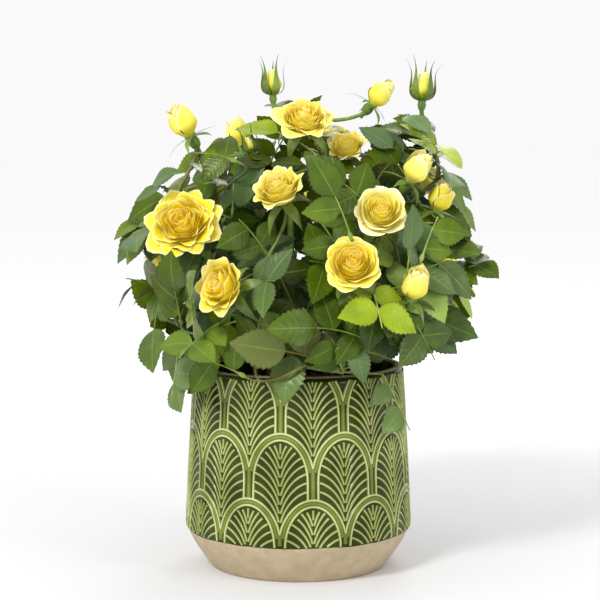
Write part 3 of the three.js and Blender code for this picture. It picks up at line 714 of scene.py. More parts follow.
def grow_side_leaf(shoot, share, turn, settings, random):
    """Of several ways round the shoot, a side leaf takes the one that finds the most light."""
    base, heading = shoot.path.at(share), shoot.path.heading(share)
    outward = outward_at(base)
    scale = leaf_scale(settings.scales, random)
    face = leaf_face(base, random, settings.facing)
    best, best_score = None, -math.inf
    for attempt in range(LEAF_TRIES):
        angle = turn + attempt / LEAF_TRIES * math.tau
        direction = unit(spoke(heading, angle) + heading * LEAN_FORWARD + outward * LEAN_OUTWARD)
        leaf = keep_what_fits(Leaf(base, direction, face, scale), shoot.mass, settings.overlap)
        score = light_on(leaf) + OUTWARD_WORTH * np.dot(direction, outward)
        if len(leaf.leaflets) >= FEWEST_LEAFLETS and score > best_score:
            best, best_score = leaf, score
    if best:
        add_leaf(shoot, best, share)


def grow_side_leaves(shoot, first_distance, count, settings, random):
    start = random() * math.tau
    for index in range(count):
        distance = first_distance + index * LEAF_SPACING * (0.85 + 0.3 * random())
        if distance < shoot.length - 2:
            share = 1 - distance / shoot.length
            grow_side_leaf(shoot, share, start + index * LEAF_TURN, settings, random)


def grow_leafy_shoot(place, spread, settings, random):
    """A shoot whose last leaf has its tip at the given place."""
    scale = leaf_scale(settings.scales, random)
    face = leaf_face(place, random, settings.facing)
    outward = outward_at(place)
    start = random() * math.tau
    best, best_light = None, -math.inf
    for attempt in range(LEAF_TRIES):
        angle = start + attempt / LEAF_TRIES * math.tau
        direction = unit(outward + spoke(outward, angle) * spread)
        end = place - Leaf(np.zeros(3), direction, face, scale).leaflets[-1].tip
        mass = mass_at(end)
        leaf = keep_what_fits(Leaf(end, direction, face, scale), mass, settings.overlap)
        if len(leaf.leaflets) >= FEWEST_LEAFLETS and light_on(leaf) > best_light:
            shoot = grow_shoot(mass, end, direction, settings)
            if shoot:
                best, best_light = (shoot, leaf), light_on(leaf)
    if best:
        shoot, leaf = best
        add_shoot(shoot)
        add_leaf(shoot, leaf, 1.0)
        grow_side_leaves(shoot, LEAF_SPACING * 0.6, LEAVES_ON_A_SHOOT - 1, settings, random)


def shell_points(share, count):
    """Points spread evenly over a shell of the crown, by the golden angle."""
    index = np.arange(count)
    level = 1 - 2 * (index + 0.5) / count
    angle = index * math.pi * (3 - math.sqrt(5))
    ring = np.sqrt(1 - level**2)
    offsets = np.stack([ring * np.cos(angle), ring * np.sin(angle) * CROWN_DEPTH_SHARE, level], 1)
    offsets *= CROWN_HALF_WIDTH
    centre = np.array([CROWN_MIDDLE_X, 0, CROWN_WIDEST])
    return offsets * (share / reach_of(offsets + centre))[:, None] + centre


def grow_crown():
    first = PASSES[0]
    bloom_shoots = []
    for bloom in blossom:
        shoot = grow_shoot(bloom.mass, bloom.neck, bloom.faces, first)
        if shoot:
            shoot.bloom = bloom
            add_shoot(shoot)
            bloom_shoots.append(shoot)
    for index, tip in enumerate(FURTHEST_TIPS):
        place, random = np.array(tip, float), seeded_random(index + 1)
        grow_leafy_shoot(place, FURTHEST_SPREAD, first, random)
    for index, shoot in enumerate(bloom_shoots):
        random = seeded_random(BLOOM_SHOOT_SEEDS + index)
        grow_side_leaves(shoot, FIRST_LEAF_UNDER_A_BLOOM, LEAVES_ON_A_SHOOT, first, random)
    for settings in PASSES:
        fill_shell(settings)
    for index, tip in enumerate(OUTER_TIPS):
        place, random = np.array(tip, float), seeded_random(OUTER_TIP_SEEDS + index)
        grow_leafy_shoot(place, OUTER_SPREAD, OUTER_PASS, random)
    for settings in FINE_PASSES:
        fill_shell(settings)
    thin_crown()


def fill_shell(settings):
    for index, place in enumerate(shell_points(settings.share, settings.tips)):
        middle = place - outward_at(place) * LEAF_DEPTH
        if (((canopy.middles - middle) ** 2).sum(-1) > settings.clearing**2).all():
            random = seeded_random(SHELL_SEEDS + index)
            grow_leafy_shoot(place, SHELL_SPREAD, settings, random)


def thin_crown():
    """Takes away what hangs before a bloom or closes a hollow, and twigs that are left bare."""
    for mass in masses:
        for shoot in mass.shoots:
            shoot.limit = open_share(shoot)
            for leaf in shoot.leaves:
                leaf.leaflets = [
                    leaflet for leaflet in leaf.leaflets if is_welcome(leaflet.samples())
                ]
            shoot.leaves = [
                leaf for leaf in shoot.leaves
                if leaf.share <= shoot.limit and len(leaf.leaflets) > 1
                and is_welcome(leaf.twigs().reshape(-1, 3))
            ]
            shoot.kept = max([leaf.share for leaf in shoot.leaves], default=0.0)
        for shoot in reversed(mass.shoots):
            if shoot.bloom:
                shoot.kept = 1.0
            if shoot.kept and shoot.parent:
                shoot.parent.kept = max(shoot.parent.kept, shoot.fork)
        mass.shoots = [shoot for shoot in mass.shoots if shoot.kept]


def open_share(shoot):
    """How far along a shoot may stay: as far as its parent carries it and nothing is hidden."""
    if shoot.bloom:
        return 1.0
    if shoot.parent and shoot.fork > shoot.parent.limit:
        return -1.0
    steps = np.linspace(0, 1, 25)
    hidden = [share for share in steps if not is_welcome(shoot.path.at(share)[None])]
    return min(hidden, default=1.01) - 0.01


def is_welcome(points):
    return leaves_blossom_in_view(points, 1.0).all() and leaves_hollows_open(points).all()


# ------------------------------------------------------------------------------ mesh building


class Patchwork:
    """Grids of quads gathered into one mesh, with named numbers at their corners for paint."""

    def __init__(self, *value_names):
        self.points, self.faces, self.count = [], [], 0
        self.values = {name: [] for name in value_names}

    def add(self, grid, wrap=False, **values):
        rows, columns = grid.shape[:2]
        index = self.count + np.arange(rows * columns).reshape(rows, columns)
        if wrap:
            index = np.concatenate([index, index[:, :1]], axis=1)
        corners = (index[:-1, :-1], index[:-1, 1:], index[1:, 1:], index[1:, :-1])
        self.faces.append(np.stack(corners, axis=-1).reshape(-1, 4))
        self.points.append(grid.reshape(-1, 3))
        for name, numbers in self.values.items():
            numbers.append(np.broadcast_to(values.get(name, 0), (rows, columns)).reshape(-1))
        self.count += rows * columns

    def build(self, name, material, slot, *replaced):
        mesh = bpy.data.meshes.new(name)
        vertices = np.concatenate(self.points) * MILLIMETRE
        mesh.from_pydata(vertices.tolist(), [], np.concatenate(self.faces).tolist())
        mesh.shade_smooth()
        for value_name, numbers in self.values.items():
            attribute = mesh.attributes.new(value_name, "FLOAT", "POINT")
            attribute.data.foreach_set("value", np.concatenate(numbers).astype(np.float32))
        mesh.materials.append(material)
        piece = bpy.data.objects.new(name, mesh)
        bpy.context.scene.collection.objects.link(piece)
        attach(piece, "root")
        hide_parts(*replaced)


def tube(points, radii, sides):
    """The rings of a round limb along a line of points."""
    points = np.asarray(points, float)
    radii = np.broadcast_to(radii, len(points))
    headings = unit(np.gradient(points, axis=0))
    angles = np.arange(sides) / sides * math.tau
    side = any_side_of(headings[0])
    rings = []
    for point, heading, radius in zip(points, headings, radii):
        side = square_to(heading, side)
        other = cross(heading, side)
        ring = np.outer(np.cos(angles), side) + np.outer(np.sin(angles), other)
        rings.append(point + ring * radius)
    return np.array(rings)


def turned(profile, sides, twist=0.0):
    """A shape of revolution about +Z, from pairs of radius and height."""
    profile = np.asarray(profile, float)
    angles = np.arange(sides) / sides * math.tau + twist
    ring = np.stack([np.cos(angles), np.sin(angles)], axis=-1)
    flat = profile[:, None, :1] * ring
    heights = np.broadcast_to(profile[:, None, 1:], (*flat.shape[:2], 1))
    return np.concatenate([flat, heights], axis=-1)


def in_frame(grid, origin, axis):
    """Moves a grid that was made about +Z so that it stands at a place along an axis."""
    side = any_side_of(axis)
    level = origin + grid[..., :1] * side + grid[..., 1:2] * cross(axis, side)
    return level + grid[..., 2:] * axis


# ------------------------------------------------------------------------------------- paint


def srgb(red, green, blue):
    """A colour as it looks on a screen, turned into the linear light that shaders use."""
    shares = np.array([red, green, blue]) / 255
    linear = np.where(shares <= 0.04045, shares / 12.92, ((shares + 0.055) / 1.055) ** 2.4)
    return (*linear, 1.0)


class Paint:
    """A procedural material, with short names for the nodes that it is mixed from."""

    def __init__(self, name, **settings):
        self.material = bpy.data.materials.new(name)
        self.material.use_nodes = True
        self.tree = self.material.node_tree
        self.shader = self.tree.nodes["Principled BSDF"]
        for socket, value in settings.items():
            self.feed(self.shader, socket.replace("_", " "), value)

    def feed(self, node, socket, value):
        if isinstance(value, bpy.types.NodeSocket):
            self.tree.links.new(value, node.inputs[socket])
        else:
            node.inputs[socket].default_value = value

    def node(self, kind, output, properties=None, **inputs):
        node = self.tree.nodes.new("ShaderNode" + kind)
        for name, value in (properties or {}).items():
            setattr(node, name, value)
        for socket, value in inputs.items():
            self.feed(node, socket.replace("_", " "), value)
        return node.outputs[output]

    def value(self, name):
        return self.node("Attribute", "Fac", {"attribute_name": name})

    def place(self):
        return self.node("TexCoord", "Object")

    def height(self):
        return self.node("SeparateXYZ", "Z", Vector=self.place())

    def noise(self, scale, detail=3.0, vector=None):
        where = vector or self.place()
        return self.node("TexNoise", "Fac", Vector=where, Scale=scale, Detail=detail)

    def varied(self, noise, low, high):
        """Maps the values that a noise mostly has to a span."""
        return self.span(noise, 0.3, 0.7, low, high)

    def maths(self, operation, first, second=0.0):
        node = self.tree.nodes.new("ShaderNodeMath")
        node.operation = operation
        self.feed(node, 0, first)
        self.feed(node, 1, second)
        return node.outputs[0]

    def plus(self, first, second):
        return self.maths("ADD", first, second)

    def less(self, first, second):
        return self.maths("SUBTRACT", first, second)

    def times(self, first, second):
        return self.maths("MULTIPLY", first, second)

    def span(self, value, low, high, to_low=0.0, to_high=1.0):
        """Maps a value from one span to another, and keeps it inside the second."""
        node = self.tree.nodes.new("ShaderNodeMapRange")
        node.interpolation_type = "SMOOTHSTEP"
        for socket, number in enumerate((value, low, high, to_low, to_high)):
            self.feed(node, socket, number)
        return node.outputs[0]

    def ramp(self, value, *stops):
        """Blends from stop to stop: each is a position and a screen colour."""
        node = self.tree.nodes.new("ShaderNodeValToRGB")
        elements = node.color_ramp.elements
        while len(elements) < len(stops):
            elements.new(0.5)
        for element, (position, *colour) in zip(elements, stops):
            element.position = position
            element.color = srgb(*colour)
        self.feed(node, 0, value)
        return node.outputs["Color"]

    def mix(self, share, first, second, blend="MIX"):
        node = self.tree.nodes.new("ShaderNodeMix")
        node.data_type = "RGBA"
        node.blend_type = blend
        self.feed(node, 0, share)
        self.feed(node, 6, first)
        self.feed(node, 7, second)
        return node.outputs[2]

    def bump(self, height, strength, distance):
        normal = self.node("Bump", "Normal", Strength=strength, Distance=distance, Height=height)
        self.feed(self.shader, "Normal", normal)

    def finish(self, colour, roughness):
        self.feed(self.shader, "Base Color", colour)
        self.feed(self.shader, "Roughness", roughness)
        return self.material


def leaf_paint():
    """Glossy green with a pale midrib, side veins that sink in, and a dark edge."""
    paint = Paint("rose_leaf", Specular_IOR_Level=0.32, Specular_Tint=(0.9, 1.0, 0.6, 1.0))
    across = paint.maths("ABSOLUTE", paint.value("across"))
    along = paint.value("along")
    grain = paint.noise(260)
    blotches = paint.noise(45)
    tone = paint.plus(paint.value("tone"), paint.varied(blotches, -0.1, 0.1))
    green = paint.ramp(
        tone, (0.0, 34, 54, 4), (0.3, 66, 92, 10), (0.6, 112, 136, 24), (1.0, 176, 200, 24))
    green = paint.mix(paint.value("bronze"), green, srgb(96, 82, 14))
    # A painted sheen: a grey-green cast on some leaves that stands in for the reflection of the
    # bright surroundings.
    green = paint.mix(paint.value("painted_sheen"), green, srgb(96, 122, 92))
    slant = paint.less(along, paint.times(across, 0.24))
    ridge = paint.maths("PINGPONG", paint.times(slant, 13.0), 1.0)
    side_vein = paint.span(ridge, 0.0, 0.16, 1.0, 0.0)
    midrib = paint.span(across, 0.02, 0.07, 1.0, 0.0)
    vein = paint.maths("MAXIMUM", paint.times(side_vein, 0.2), midrib)
    green = paint.mix(paint.times(vein, 0.36), green, srgb(132, 154, 60))
    edge = paint.span(across, 0.86, 1.0, 0.0, 0.6)
    green = paint.mix(edge, green, srgb(34, 34, 8))
    quilt = paint.span(ridge, 0.0, 0.6)
    relief = paint.less(quilt, paint.times(midrib, 1.3))
    paint.bump(paint.plus(relief, paint.times(grain, 0.5)), 0.2, 0.0004)
    return paint.finish(green, paint.varied(grain, 0.27, 0.38))


def petal_paint():
    """Yellow that is deepest in the heart of the bloom, with a cream rim on each petal, and a
    painted glow that is strongest in the heart.
    """
    paint = Paint("rose_petal", Specular_IOR_Level=0.16, Sheen_Weight=0.03)
    layer, along = paint.value("layer"), paint.value("along")
    outward = paint.times(layer, 0.6)
    depth = paint.plus(outward, paint.times(along, 0.4))
    grain = paint.noise(420, 2.0)
    depth = paint.plus(depth, paint.varied(grain, -0.05, 0.05))
    golden = paint.ramp(
        depth, (0.1, 240, 210, 0), (0.4, 238, 212, 0), (0.75, 232, 211, 4), (1.0, 233, 215, 30))
    pale = paint.ramp(
        depth, (0.1, 240, 214, 2), (0.4, 240, 221, 40), (0.75, 241, 230, 116),
        (1.0, 245, 239, 196))
    colour = paint.mix(paint.value("gold"), pale, golden)
    rim = paint.span(paint.value("rim"), 0.88, 1.0, 0.0, 0.6)
    colour = paint.mix(rim, colour, srgb(255, 247, 204))
    foot = paint.span(along, 0.1, 0.75, 1.0, 0.25)
    colour = paint.mix(paint.times(paint.value("unripe"), foot), colour, srgb(170, 188, 52))
    streaks = paint.noise(6, 4.0, paint.node(
        "CombineXYZ", "Vector", X=paint.times(paint.value("across"), 5.0),
        Y=paint.times(along, 0.7), Z=paint.times(layer, 30.0)))
    paint.bump(streaks, 0.35, 0.0006)
    # A painted glow: emission stands in for the light that thin petals let through, so the folds
    # of the heart are never dark.
    paint.feed(paint.shader, "Emission Color", colour)
    paint.feed(paint.shader, "Emission Strength", paint.span(outward, 0.0, 0.5, 0.14, 0.03))
    return paint.finish(colour, paint.varied(grain, 0.48, 0.6))


def green_paint():
    """Young stems, leaf stalks, calyxes and sepals."""
    paint = Paint("green_stem", Specular_IOR_Level=0.5)
    mottle = paint.noise(160)
    tone = paint.plus(paint.value("tone"), paint.varied(mottle, -0.15, 0.15))
    green = paint.ramp(
        tone, (0.0, 46, 66, 22), (0.4, 86, 118, 36), (0.75, 128, 154, 58), (1.0, 172, 188, 96))
    green = paint.mix(paint.value("bronze"), green, srgb(112, 66, 34))
    paint.bump(paint.noise(900), 0.25, 0.0003)
    return paint.finish(green, paint.varied(mottle, 0.38, 0.55))


def bark_paint():
    """Green bark that turns brown and corky toward the soil."""
    paint = Paint("cane_bark")
    grain = paint.noise(220, 5.0)
    low = paint.span(paint.height(), 0.128, 0.185, 0.85, 0.1)
    age = paint.plus(low, paint.span(grain, 0.35, 0.7, -0.3, 0.3))
    colour = paint.ramp(
        age, (0.0, 96, 116, 46), (0.45, 104, 98, 52), (0.75, 110, 84, 56), (1.0, 82, 62, 44))
    paint.bump(grain, 0.7, 0.0008)
    return paint.finish(colour, paint.varied(grain, 0.55, 0.8))


def soil_paint():
    paint = Paint("peat_soil")
    lumps, fibres = paint.noise(150, 6.0), paint.noise(900, 3.0)
    shade = paint.plus(paint.times(lumps, 0.7), paint.times(fibres, 0.3))
    colour = paint.ramp(
        shade, (0.3, 28, 18, 12), (0.5, 58, 40, 28), (0.62, 92, 66, 46), (0.75, 120, 92, 66))
    paint.bump(shade, 1.0, 0.003)
    return paint.finish(colour, paint.varied(fibres, 0.82, 0.96))


GLAZE_LINE = 26.4


def pot_paint():
    """Olive glaze, thin and pale on the ridges and dark where it pools, over bare buff clay."""
    paint = Paint("pot_glaze_and_clay", Specular_IOR_Level=0.22)
    pooling, grain = paint.noise(38, 4.0), paint.noise(700, 2.0)
    crest = paint.plus(paint.value("crest"), paint.varied(pooling, -0.1, 0.12))
    glaze = paint.ramp(
        crest, (0.0, 34, 44, 0), (0.2, 62, 74, 8), (0.5, 112, 122, 48), (0.8, 154, 162, 96),
        (1.0, 196, 202, 146))
    clay = paint.ramp(paint.noise(120, 6.0), (0.3, 178, 160, 130), (0.7, 194, 177, 148))
    speck = paint.span(paint.noise(1500, 1.0), 0.66, 0.72, 0.0, 0.5)
    clay = paint.mix(speck, clay, srgb(140, 118, 90))
    height = paint.height()
    line = paint.plus(GLAZE_LINE * MILLIMETRE, paint.varied(pooling, -0.0004, 0.0004))
    bare_base = paint.span(paint.less(height, line), -0.0002, 0.0002, 1.0, 0.0)
    bare_rim = paint.span(height, 0.1396, 0.1404, 0.0, 0.75)
    bare = paint.maths("MAXIMUM", bare_base, bare_rim)
    colour = paint.mix(bare, glaze, clay)
    relief = paint.plus(paint.times(grain, bare), paint.times(pooling, 0.5))
    paint.bump(relief, 0.3, 0.0004)
    gloss = paint.varied(pooling, 0.14, 0.24)
    rough = paint.plus(gloss, paint.times(bare, 0.55))
    return paint.finish(colour, rough)


# ---------------------------------------------------------------------------------- the leaves

BLADE_ROWS = 21
BLADE_WIDTH_SHARE = 0.7
LIGHT_TWIST = 0.7
STALK_RADII = (0.75, 0.4)
STALK_RINGS = 8
WING_LENGTH = 8
WING_WIDTH = 1.7
WING_STEPS = 6


def turned_to_light(leaflet):
    """A leaflet's face and side, once it has twisted toward the front or the back."""
    lit = leaflet.face + LIGHT_TWIST * nearer_view(leaflet.base)
    face = square_to(leaflet.direction, lit)
    return face, cross(leaflet.direction, face)


def leaflet_grid(leaflet, random):
    """A leaflet's blade: egg-shaped, toothed, folded along its midrib and curled at its tip."""
    along = np.linspace(0, 1, BLADE_ROWS)[:, None]
    across = np.array([-1, -0.5, 0, 0.5, 1])[None]
    outline = 3.36 * along**0.72 * (1 - along) ** 1.12
    tooth = np.where(np.arange(BLADE_ROWS) % 2, 1.0, 0.0)[:, None] * np.sin(math.pi * along) ** 0.3
    edge = np.abs(across) == 1
    half_width = leaflet.length * BLADE_WIDTH_SHARE / 2
    width = half_width * outline * (1 + np.where(edge, 0.1 * tooth - 0.04, 0)) * across
    face, side = turned_to_light(leaflet)
    forward = along + np.where(edge, 0.35 * tooth / BLADE_ROWS, 0)
    lift = half_width * outline * (0.34 * np.abs(across) - 0.24 * across**2)
    wave = 0.05 * half_width * np.sin(9 * along + 6 * random()) * across**2 * outline
    curl = leaflet.length * (0.05 + 0.22 * random()) * along**2
    bend = leaflet.length * 0.12 * (random() - 0.5) * along**2
    lift = lift + wave - curl
    reach = leaflet.length * (forward - 0.12 * curl / leaflet.length * along)
    grid = leaflet.base + leaflet.direction * reach[..., None]
    grid = grid + side * (width + bend)[..., None] + face * lift[..., None]
    return grid, along, across


def leaf_tones(leaf, random):
    """Leaves near the outside are paler, some are young or bronze and some get a painted sheen of
    reflected light.
    """
    outer = smooth((reach_of(leaf.base) - 0.55) / 0.5)
    tone = 0.06 + 0.34 * random() + 0.14 * outer
    if random() > 0.9:
        tone += 0.42
    bronze = 0.6 if random() > 0.96 else 0.15 * random()
    # A painted sheen on a few leaves, which stands in for reflected light.
    painted_sheen = 0.6 * random() ** 4
    return {"tone": float(tone), "bronze": bronze, "painted_sheen": painted_sheen}


def build_leaves():
    blades = Patchwork("along", "across", "tone", "bronze", "painted_sheen")
    stalks = Patchwork("tone", "bronze")
    random = seeded_random(LEAF_SEED)
    for mass in masses:
        for shoot in mass.shoots:
            for leaf in shoot.leaves:
                tones = leaf_tones(leaf, random)
                for leaflet in leaf.leaflets:
                    grid, along, across = leaflet_grid(leaflet, random)
                    shade = {**tones, "tone": tones["tone"] + 0.08 * (random() - 0.5)}
                    blades.add(grid, along=along, across=across, **shade)
                add_stalk(stalks, leaf, tones["tone"], tones["bronze"])
    replaced = [f"foliage_{name}" for name in MASS_MIDDLES]
    blades.build("rose_leaves", leaf_paint(), "foliage", *replaced)
    return stalks


def add_stalk(stalks, leaf, tone, bronze):
    """The rachis, with a narrow wing on each side where it leaves the twig."""

    def line(length, count):
        return np.array([leaf.rachis_at(distance) for distance in np.linspace(0, length, count)])

    points = line(leaf.stops[2], STALK_RINGS)
    radii = np.linspace(*STALK_RADII, STALK_RINGS)
    stalks.add(tube(points, radii, 5), wrap=True, tone=0.35 + tone, bronze=bronze)
    spine = line(WING_LENGTH, WING_STEPS)
    along = np.linspace(0, 1, WING_STEPS)[:, None]
    spread = np.array([0, 1])[None] * WING_WIDTH * np.sin(math.pi * along**0.7)
    for turn in (-1, 1):
        side = cross(leaf.direction, square_to(leaf.direction, leaf.face)) * turn
        wing = spine[:, None] + side * spread[..., None]
        stalks.add(wing, tone=0.3 + tone, bronze=bronze)


# ----------------------------------------------------------------------------- twigs and canes

# From its foot to its tip: a mass's stem, a twig, a fine twig, and the tip under a bloom.
STEM_RADII = (2.4, 1.2)
TWIG_RADII = (1.55, 1.1)
FINE_TWIG_RADII = (1.05, 0.7)
BLOOM_TWIG_TIP = 1.25
STEM_RINGS = 10
TWIG_RINGS = 16
CANE_RINGS = 60
CANE_SIDES = 16


def add_prickles(patchwork, path, low, high, count, radius, random, **values):
    for index in range(count):
        share = low + (high - low) * (index + random()) / count
        heading = path.heading(share)
        away = spoke(heading, random() * math.tau)
        root = path.at(share) + away * radius * 0.7
        size = 1.6 + 1.2 * random()
        spine = [root + away * size * step - heading * size * 0.5 * step**2
                 for step in (0, 0.5, 1)]
        patchwork.add(tube(spine, [0.75, 0.35, 0.03], 5), wrap=True, **values)


def build_twigs(stalks):
    random = seeded_random(TWIG_SEED)
    for mass in masses:
        stem = mass.path.points(mass.cane_end, 1, STEM_RINGS)
        radii = np.linspace(*STEM_RADII, STEM_RINGS + 1)
        stalks.add(tube(stem, radii, 8), wrap=True, tone=0.35, bronze=0.1)
        for shoot in mass.shoots:
            bronze = 0.6 * random() ** 3
            tone = 0.3 + 0.3 * random()
            base, tip = FINE_TWIG_RADII if shoot.fine else TWIG_RADII
            tip = BLOOM_TWIG_TIP if shoot.bloom else tip
            points = shoot.path.points(0, shoot.kept, TWIG_RINGS)
            radii = np.linspace(base, tip, TWIG_RINGS + 1)
            stalks.add(tube(points, radii, 7), wrap=True, tone=tone, bronze=bronze)
            if not shoot.fine:
                high = 0.7 * shoot.kept
                add_prickles(stalks, shoot.path, 0.1, high, 4, base, random, tone=0.7, bronze=0.5)
    stalks.build("green_stems_and_stalks", green_paint(), "foliage")


def build_canes():
    """The canes swell a little at each old leaf joint and are ridged along their bark."""
    canes = Patchwork()
    random = seeded_random(CANE_SEED)
    for mass in masses:
        points = mass.path.points(0, mass.cane_end, CANE_RINGS)
        radii = np.linspace(CANE_FOOT_RADIUS, CANE_TIP_RADIUS, CANE_RINGS + 1)
        grid = tube(points, radii, CANE_SIDES)
        distance = np.arange(CANE_RINGS + 1)[:, None]
        around = np.arange(CANE_SIDES)[None] / CANE_SIDES * math.tau
        joints = np.exp(-(((distance + 5 * random()) % 17 - 8) ** 2) / 2)
        furrows = np.sin(5 * around + 0.15 * distance + 6 * random())
        furrows = furrows * np.sin(0.9 * distance + 2 * around)
        swell = 1 + 0.09 * joints + 0.05 * furrows
        grid = points[:, None] + (grid - points[:, None]) * swell[..., None]
        canes.add(grid, wrap=True)
        add_prickles(canes, mass.path, 0.08, mass.cane_end, 7, CANE_FOOT_RADIUS, random)
    canes.build("cane_bark", bark_paint(), "cane_bark", *[f"cane_{name}" for name in MASS_MIDDLES])


# --------------------------------------------------------------------------------- the blossom


PETAL_ROWS = 12
PETAL_COLUMNS = 11
GOLDEN_ANGLE = 2.3998


@dataclass
class Form:
    """How a bloom's petals stand, as shares of its radius, from the innermost to the outermost.

    A petal rises to its height round a wall, flares outward above it and droops at its top.
    """
    petals: int
    wall: tuple
    flare: tuple
    height: tuple
    droop: float
    half_width: tuple
    ruffle: float
    point: float
    unripe: float


FORMS = {
    "full": Form(38, (0.06, 0.72), (0.0, 0.36), (0.92, 0.62), 0.32, (0.26, 0.74), 0.12, 0.0, 0.0),
    "open": Form(36, (0.05, 0.72), (0.0, 0.3), (0.92, 0.66), 0.28, (0.28, 0.62), 0.03, 0.05, 0.0),
    "cup": Form(26, (0.07, 0.72), (0.0, 0.42), (1.15, 1.0), 0.22, (0.3, 0.72), 0.1, 0.04, 0.05),
    "bud": Form(12, (0.12, 0.78), (-0.12, -0.3), (2.1, 1.85), 0.05, (0.45, 0.95), 0.02, 0.14, 0.2),
    "tight": Form(7, (0.3, 0.92), (-0.2, -0.8), (2.25, 2.1), 0.0, (0.6, 1.25), 0.0, 0.1, 1.0),
}

SEPALS = 5
# The way a sepal takes from the bloom's neck: pairs of how far out and how far up, in radii.
BENT_BACK = ((0.2, 0.1), (0.8, 0.05), (1.0, -0.45), (0.85, -0.9))
SEPAL_ROUTES = {
    "full": BENT_BACK,
    "open": BENT_BACK,
    "cup": ((0.2, 0.1), (0.8, 0.1), (1.05, -0.3), (1.0, -0.8)),
    "bud": ((0.3, 0.3), (1.0, 0.3), (1.4, 0.1), (1.7, -0.2)),
    "tight": ((0.3, 0.3), (1.25, 0.5), (1.25, 1.6), (0.35, 2.3), (1.5, 3.5)),
}


def petal_grid(form, share, turn, random, unfurled):
    """One petal about +Z, in shares of the bloom's radius, with its foot at height 0."""

    def between(pair, power):
        return pair[0] + (pair[1] - pair[0]) * share**power

    across = np.linspace(-1, 1, PETAL_COLUMNS)[None]
    climb = np.linspace(0, 1, PETAL_ROWS)[:, None] ** 0.8
    top = 1 - 0.3 * np.abs(across) ** 3 + form.point * share * np.exp(-((across / 0.2) ** 2))
    along = climb * top
    wall = between(form.wall, 0.8) * (0.94 + 0.12 * random())
    flare = between(form.flare, 2.0) * (0.8 + 0.4 * random()) + unfurled
    height = between(form.height, 1.0) * (0.93 + 0.14 * random())
    upper = np.clip((along - 0.45) / 0.55, 0, 1)
    reach = 0.06 + (wall - 0.06) * smooth(along / 0.45) + flare * upper**1.5 + 0.05 * across * wall
    rise = height * along - form.droop * share**3 * upper**2.2
    rise = rise - 0.1 * share * upper * across**2
    width = between(form.half_width, 0.7) * (0.35 + 0.65 * smooth(along / 0.55))
    angle = turn + np.clip(across * width / np.maximum(reach, 0.14), -2.3, 2.3)
    phase = 6 * random()
    ruffle = form.ruffle * (0.3 + 0.7 * share) * np.sin(5.5 * across + phase) * upper**1.5
    curled = form.ruffle * (0.3 + 0.7 * share) * np.cos(4 * across + phase) * upper**2
    reach, rise = reach + ruffle, rise + curled
    grid = np.stack([reach * np.cos(angle), reach * np.sin(angle), rise], axis=-1)
    rim = np.maximum(climb, np.abs(across) ** 2 * smooth(climb / 0.5))
    return grid, along, across, rim


def add_bloom(petals, greens, bloom, random):
    form = FORMS[bloom.stage]
    size = bloom.radius
    foot = bloom.neck + bloom.faces * 0.12 * size
    for index in range(form.petals):
        share = index / (form.petals - 1)
        turn = index * GOLDEN_ANGLE + 0.3 * random()
        unfurled = 0.45 * random() if bloom.stage == "bud" and share > 0.85 else 0.0
        grid, along, across, rim = petal_grid(form, share, turn, random, unfurled)
        layer = 0.5 + 0.3 * share if bloom.stage in ("bud", "tight") else share
        petals.add(in_frame(grid * size, foot, bloom.faces), along=along, across=across, rim=rim,
                   layer=layer, gold=bloom.gold, unripe=form.unripe)
    add_calyx(greens, bloom, random)


def add_calyx(greens, bloom, random):
    """The hip under the bloom, and five pointed sepals round it."""
    size = bloom.radius
    wide = 0.34 * size if bloom.stage in ("bud", "tight") else 0.2 * size
    profile = [
        (1.2, -5), (1.35, -2), (wide * 0.8, 0), (wide, wide * 0.7),
        (wide * 0.86, wide * 1.5), (wide * 1.1, wide * 2.1), (wide * 0.2, wide * 2.3),
    ]
    hip = in_frame(turned(profile, 12), bloom.neck - bloom.faces * wide * 0.9, bloom.faces)
    greens.add(hip, wrap=True, tone=0.45)
    for index in range(SEPALS):
        angle = (index + 0.3 * random()) / SEPALS * math.tau
        add_sepal(greens, bloom, spoke(bloom.faces, angle), random)


def add_sepal(greens, bloom, away, random):
    """A narrow pointed sepal, wide where it clasps the bloom and thread-like at its tip."""
    size = bloom.radius
    route = np.array(SEPAL_ROUTES[bloom.stage], float)
    route[-1] += [0.5 * (random() - 0.5), 0.6 * (random() - 0.5)]
    controls = [bloom.neck + (away * out + bloom.faces * up) * size for out, up in route]
    spine = Curve(*controls).points(0, 1, 14)
    along = np.linspace(0, 1, 15)
    clasp = 0.32 if bloom.stage == "tight" else 0.2
    width = clasp * size * (1 - along) ** 1.2 * (0.8 + 0.8 * np.sin(math.pi * along)) + 0.15
    offsets = np.array([-1, 0, 1])[None, :, None] * cross(bloom.faces, away) * width[:, None, None]
    keel = away * 0.1 * size * np.array([0, 1, 0])[None, :, None] * (1 - along)[:, None, None]
    greens.add(spine[:, None] + offsets + keel, tone=0.25 + 0.3 * random(), bronze=0.15)


def build_blossom():
    petals = Patchwork("along", "across", "rim", "layer", "gold", "unripe")
    greens = Patchwork("tone", "bronze")
    random = seeded_random(BLOSSOM_SEED)
    for bloom in blossom:
        add_bloom(petals, greens, bloom, random)
    petals.build("rose_petals", petal_paint(), "foliage")
    greens.build("calyxes_and_sepals", green_paint(), "foliage")


# -------------------------------------------------------------------------------- pot and soil

FAN_COUNT = 11
FAN_ROWS = 4
FIRST_FAN_TOP = 54.8
ROW_RISE = 44.3
FAN_OFFSET = math.radians(7.3)
FAN_RADIUS = 76.5
FAN_PITCH = math.tau * FAN_RADIUS / FAN_COUNT

# The three lines of an arch, in fan pitches: half its width, its rise and how high its top is.
ARCH = {"inner": (0.42, 0.63, 0.0), "band": (0.47, 0.68, 0.05), "outer": (0.52, 0.73, 0.1)}
INNER_HALF_WIDTH = ARCH["inner"][0]
RIB_PAIRS = 11
RIB_STEP = 0.138
RIDGE_WIDTH = 2.4
RIDGE_HEIGHT = 1.0
BELOW_RIM = 2.2
POT_SIDES = 160
WALL_SEEN_TO = 110
RIM_HALF_WIDTH = 2.9
RIM_HALF_HEIGHT = 1.4


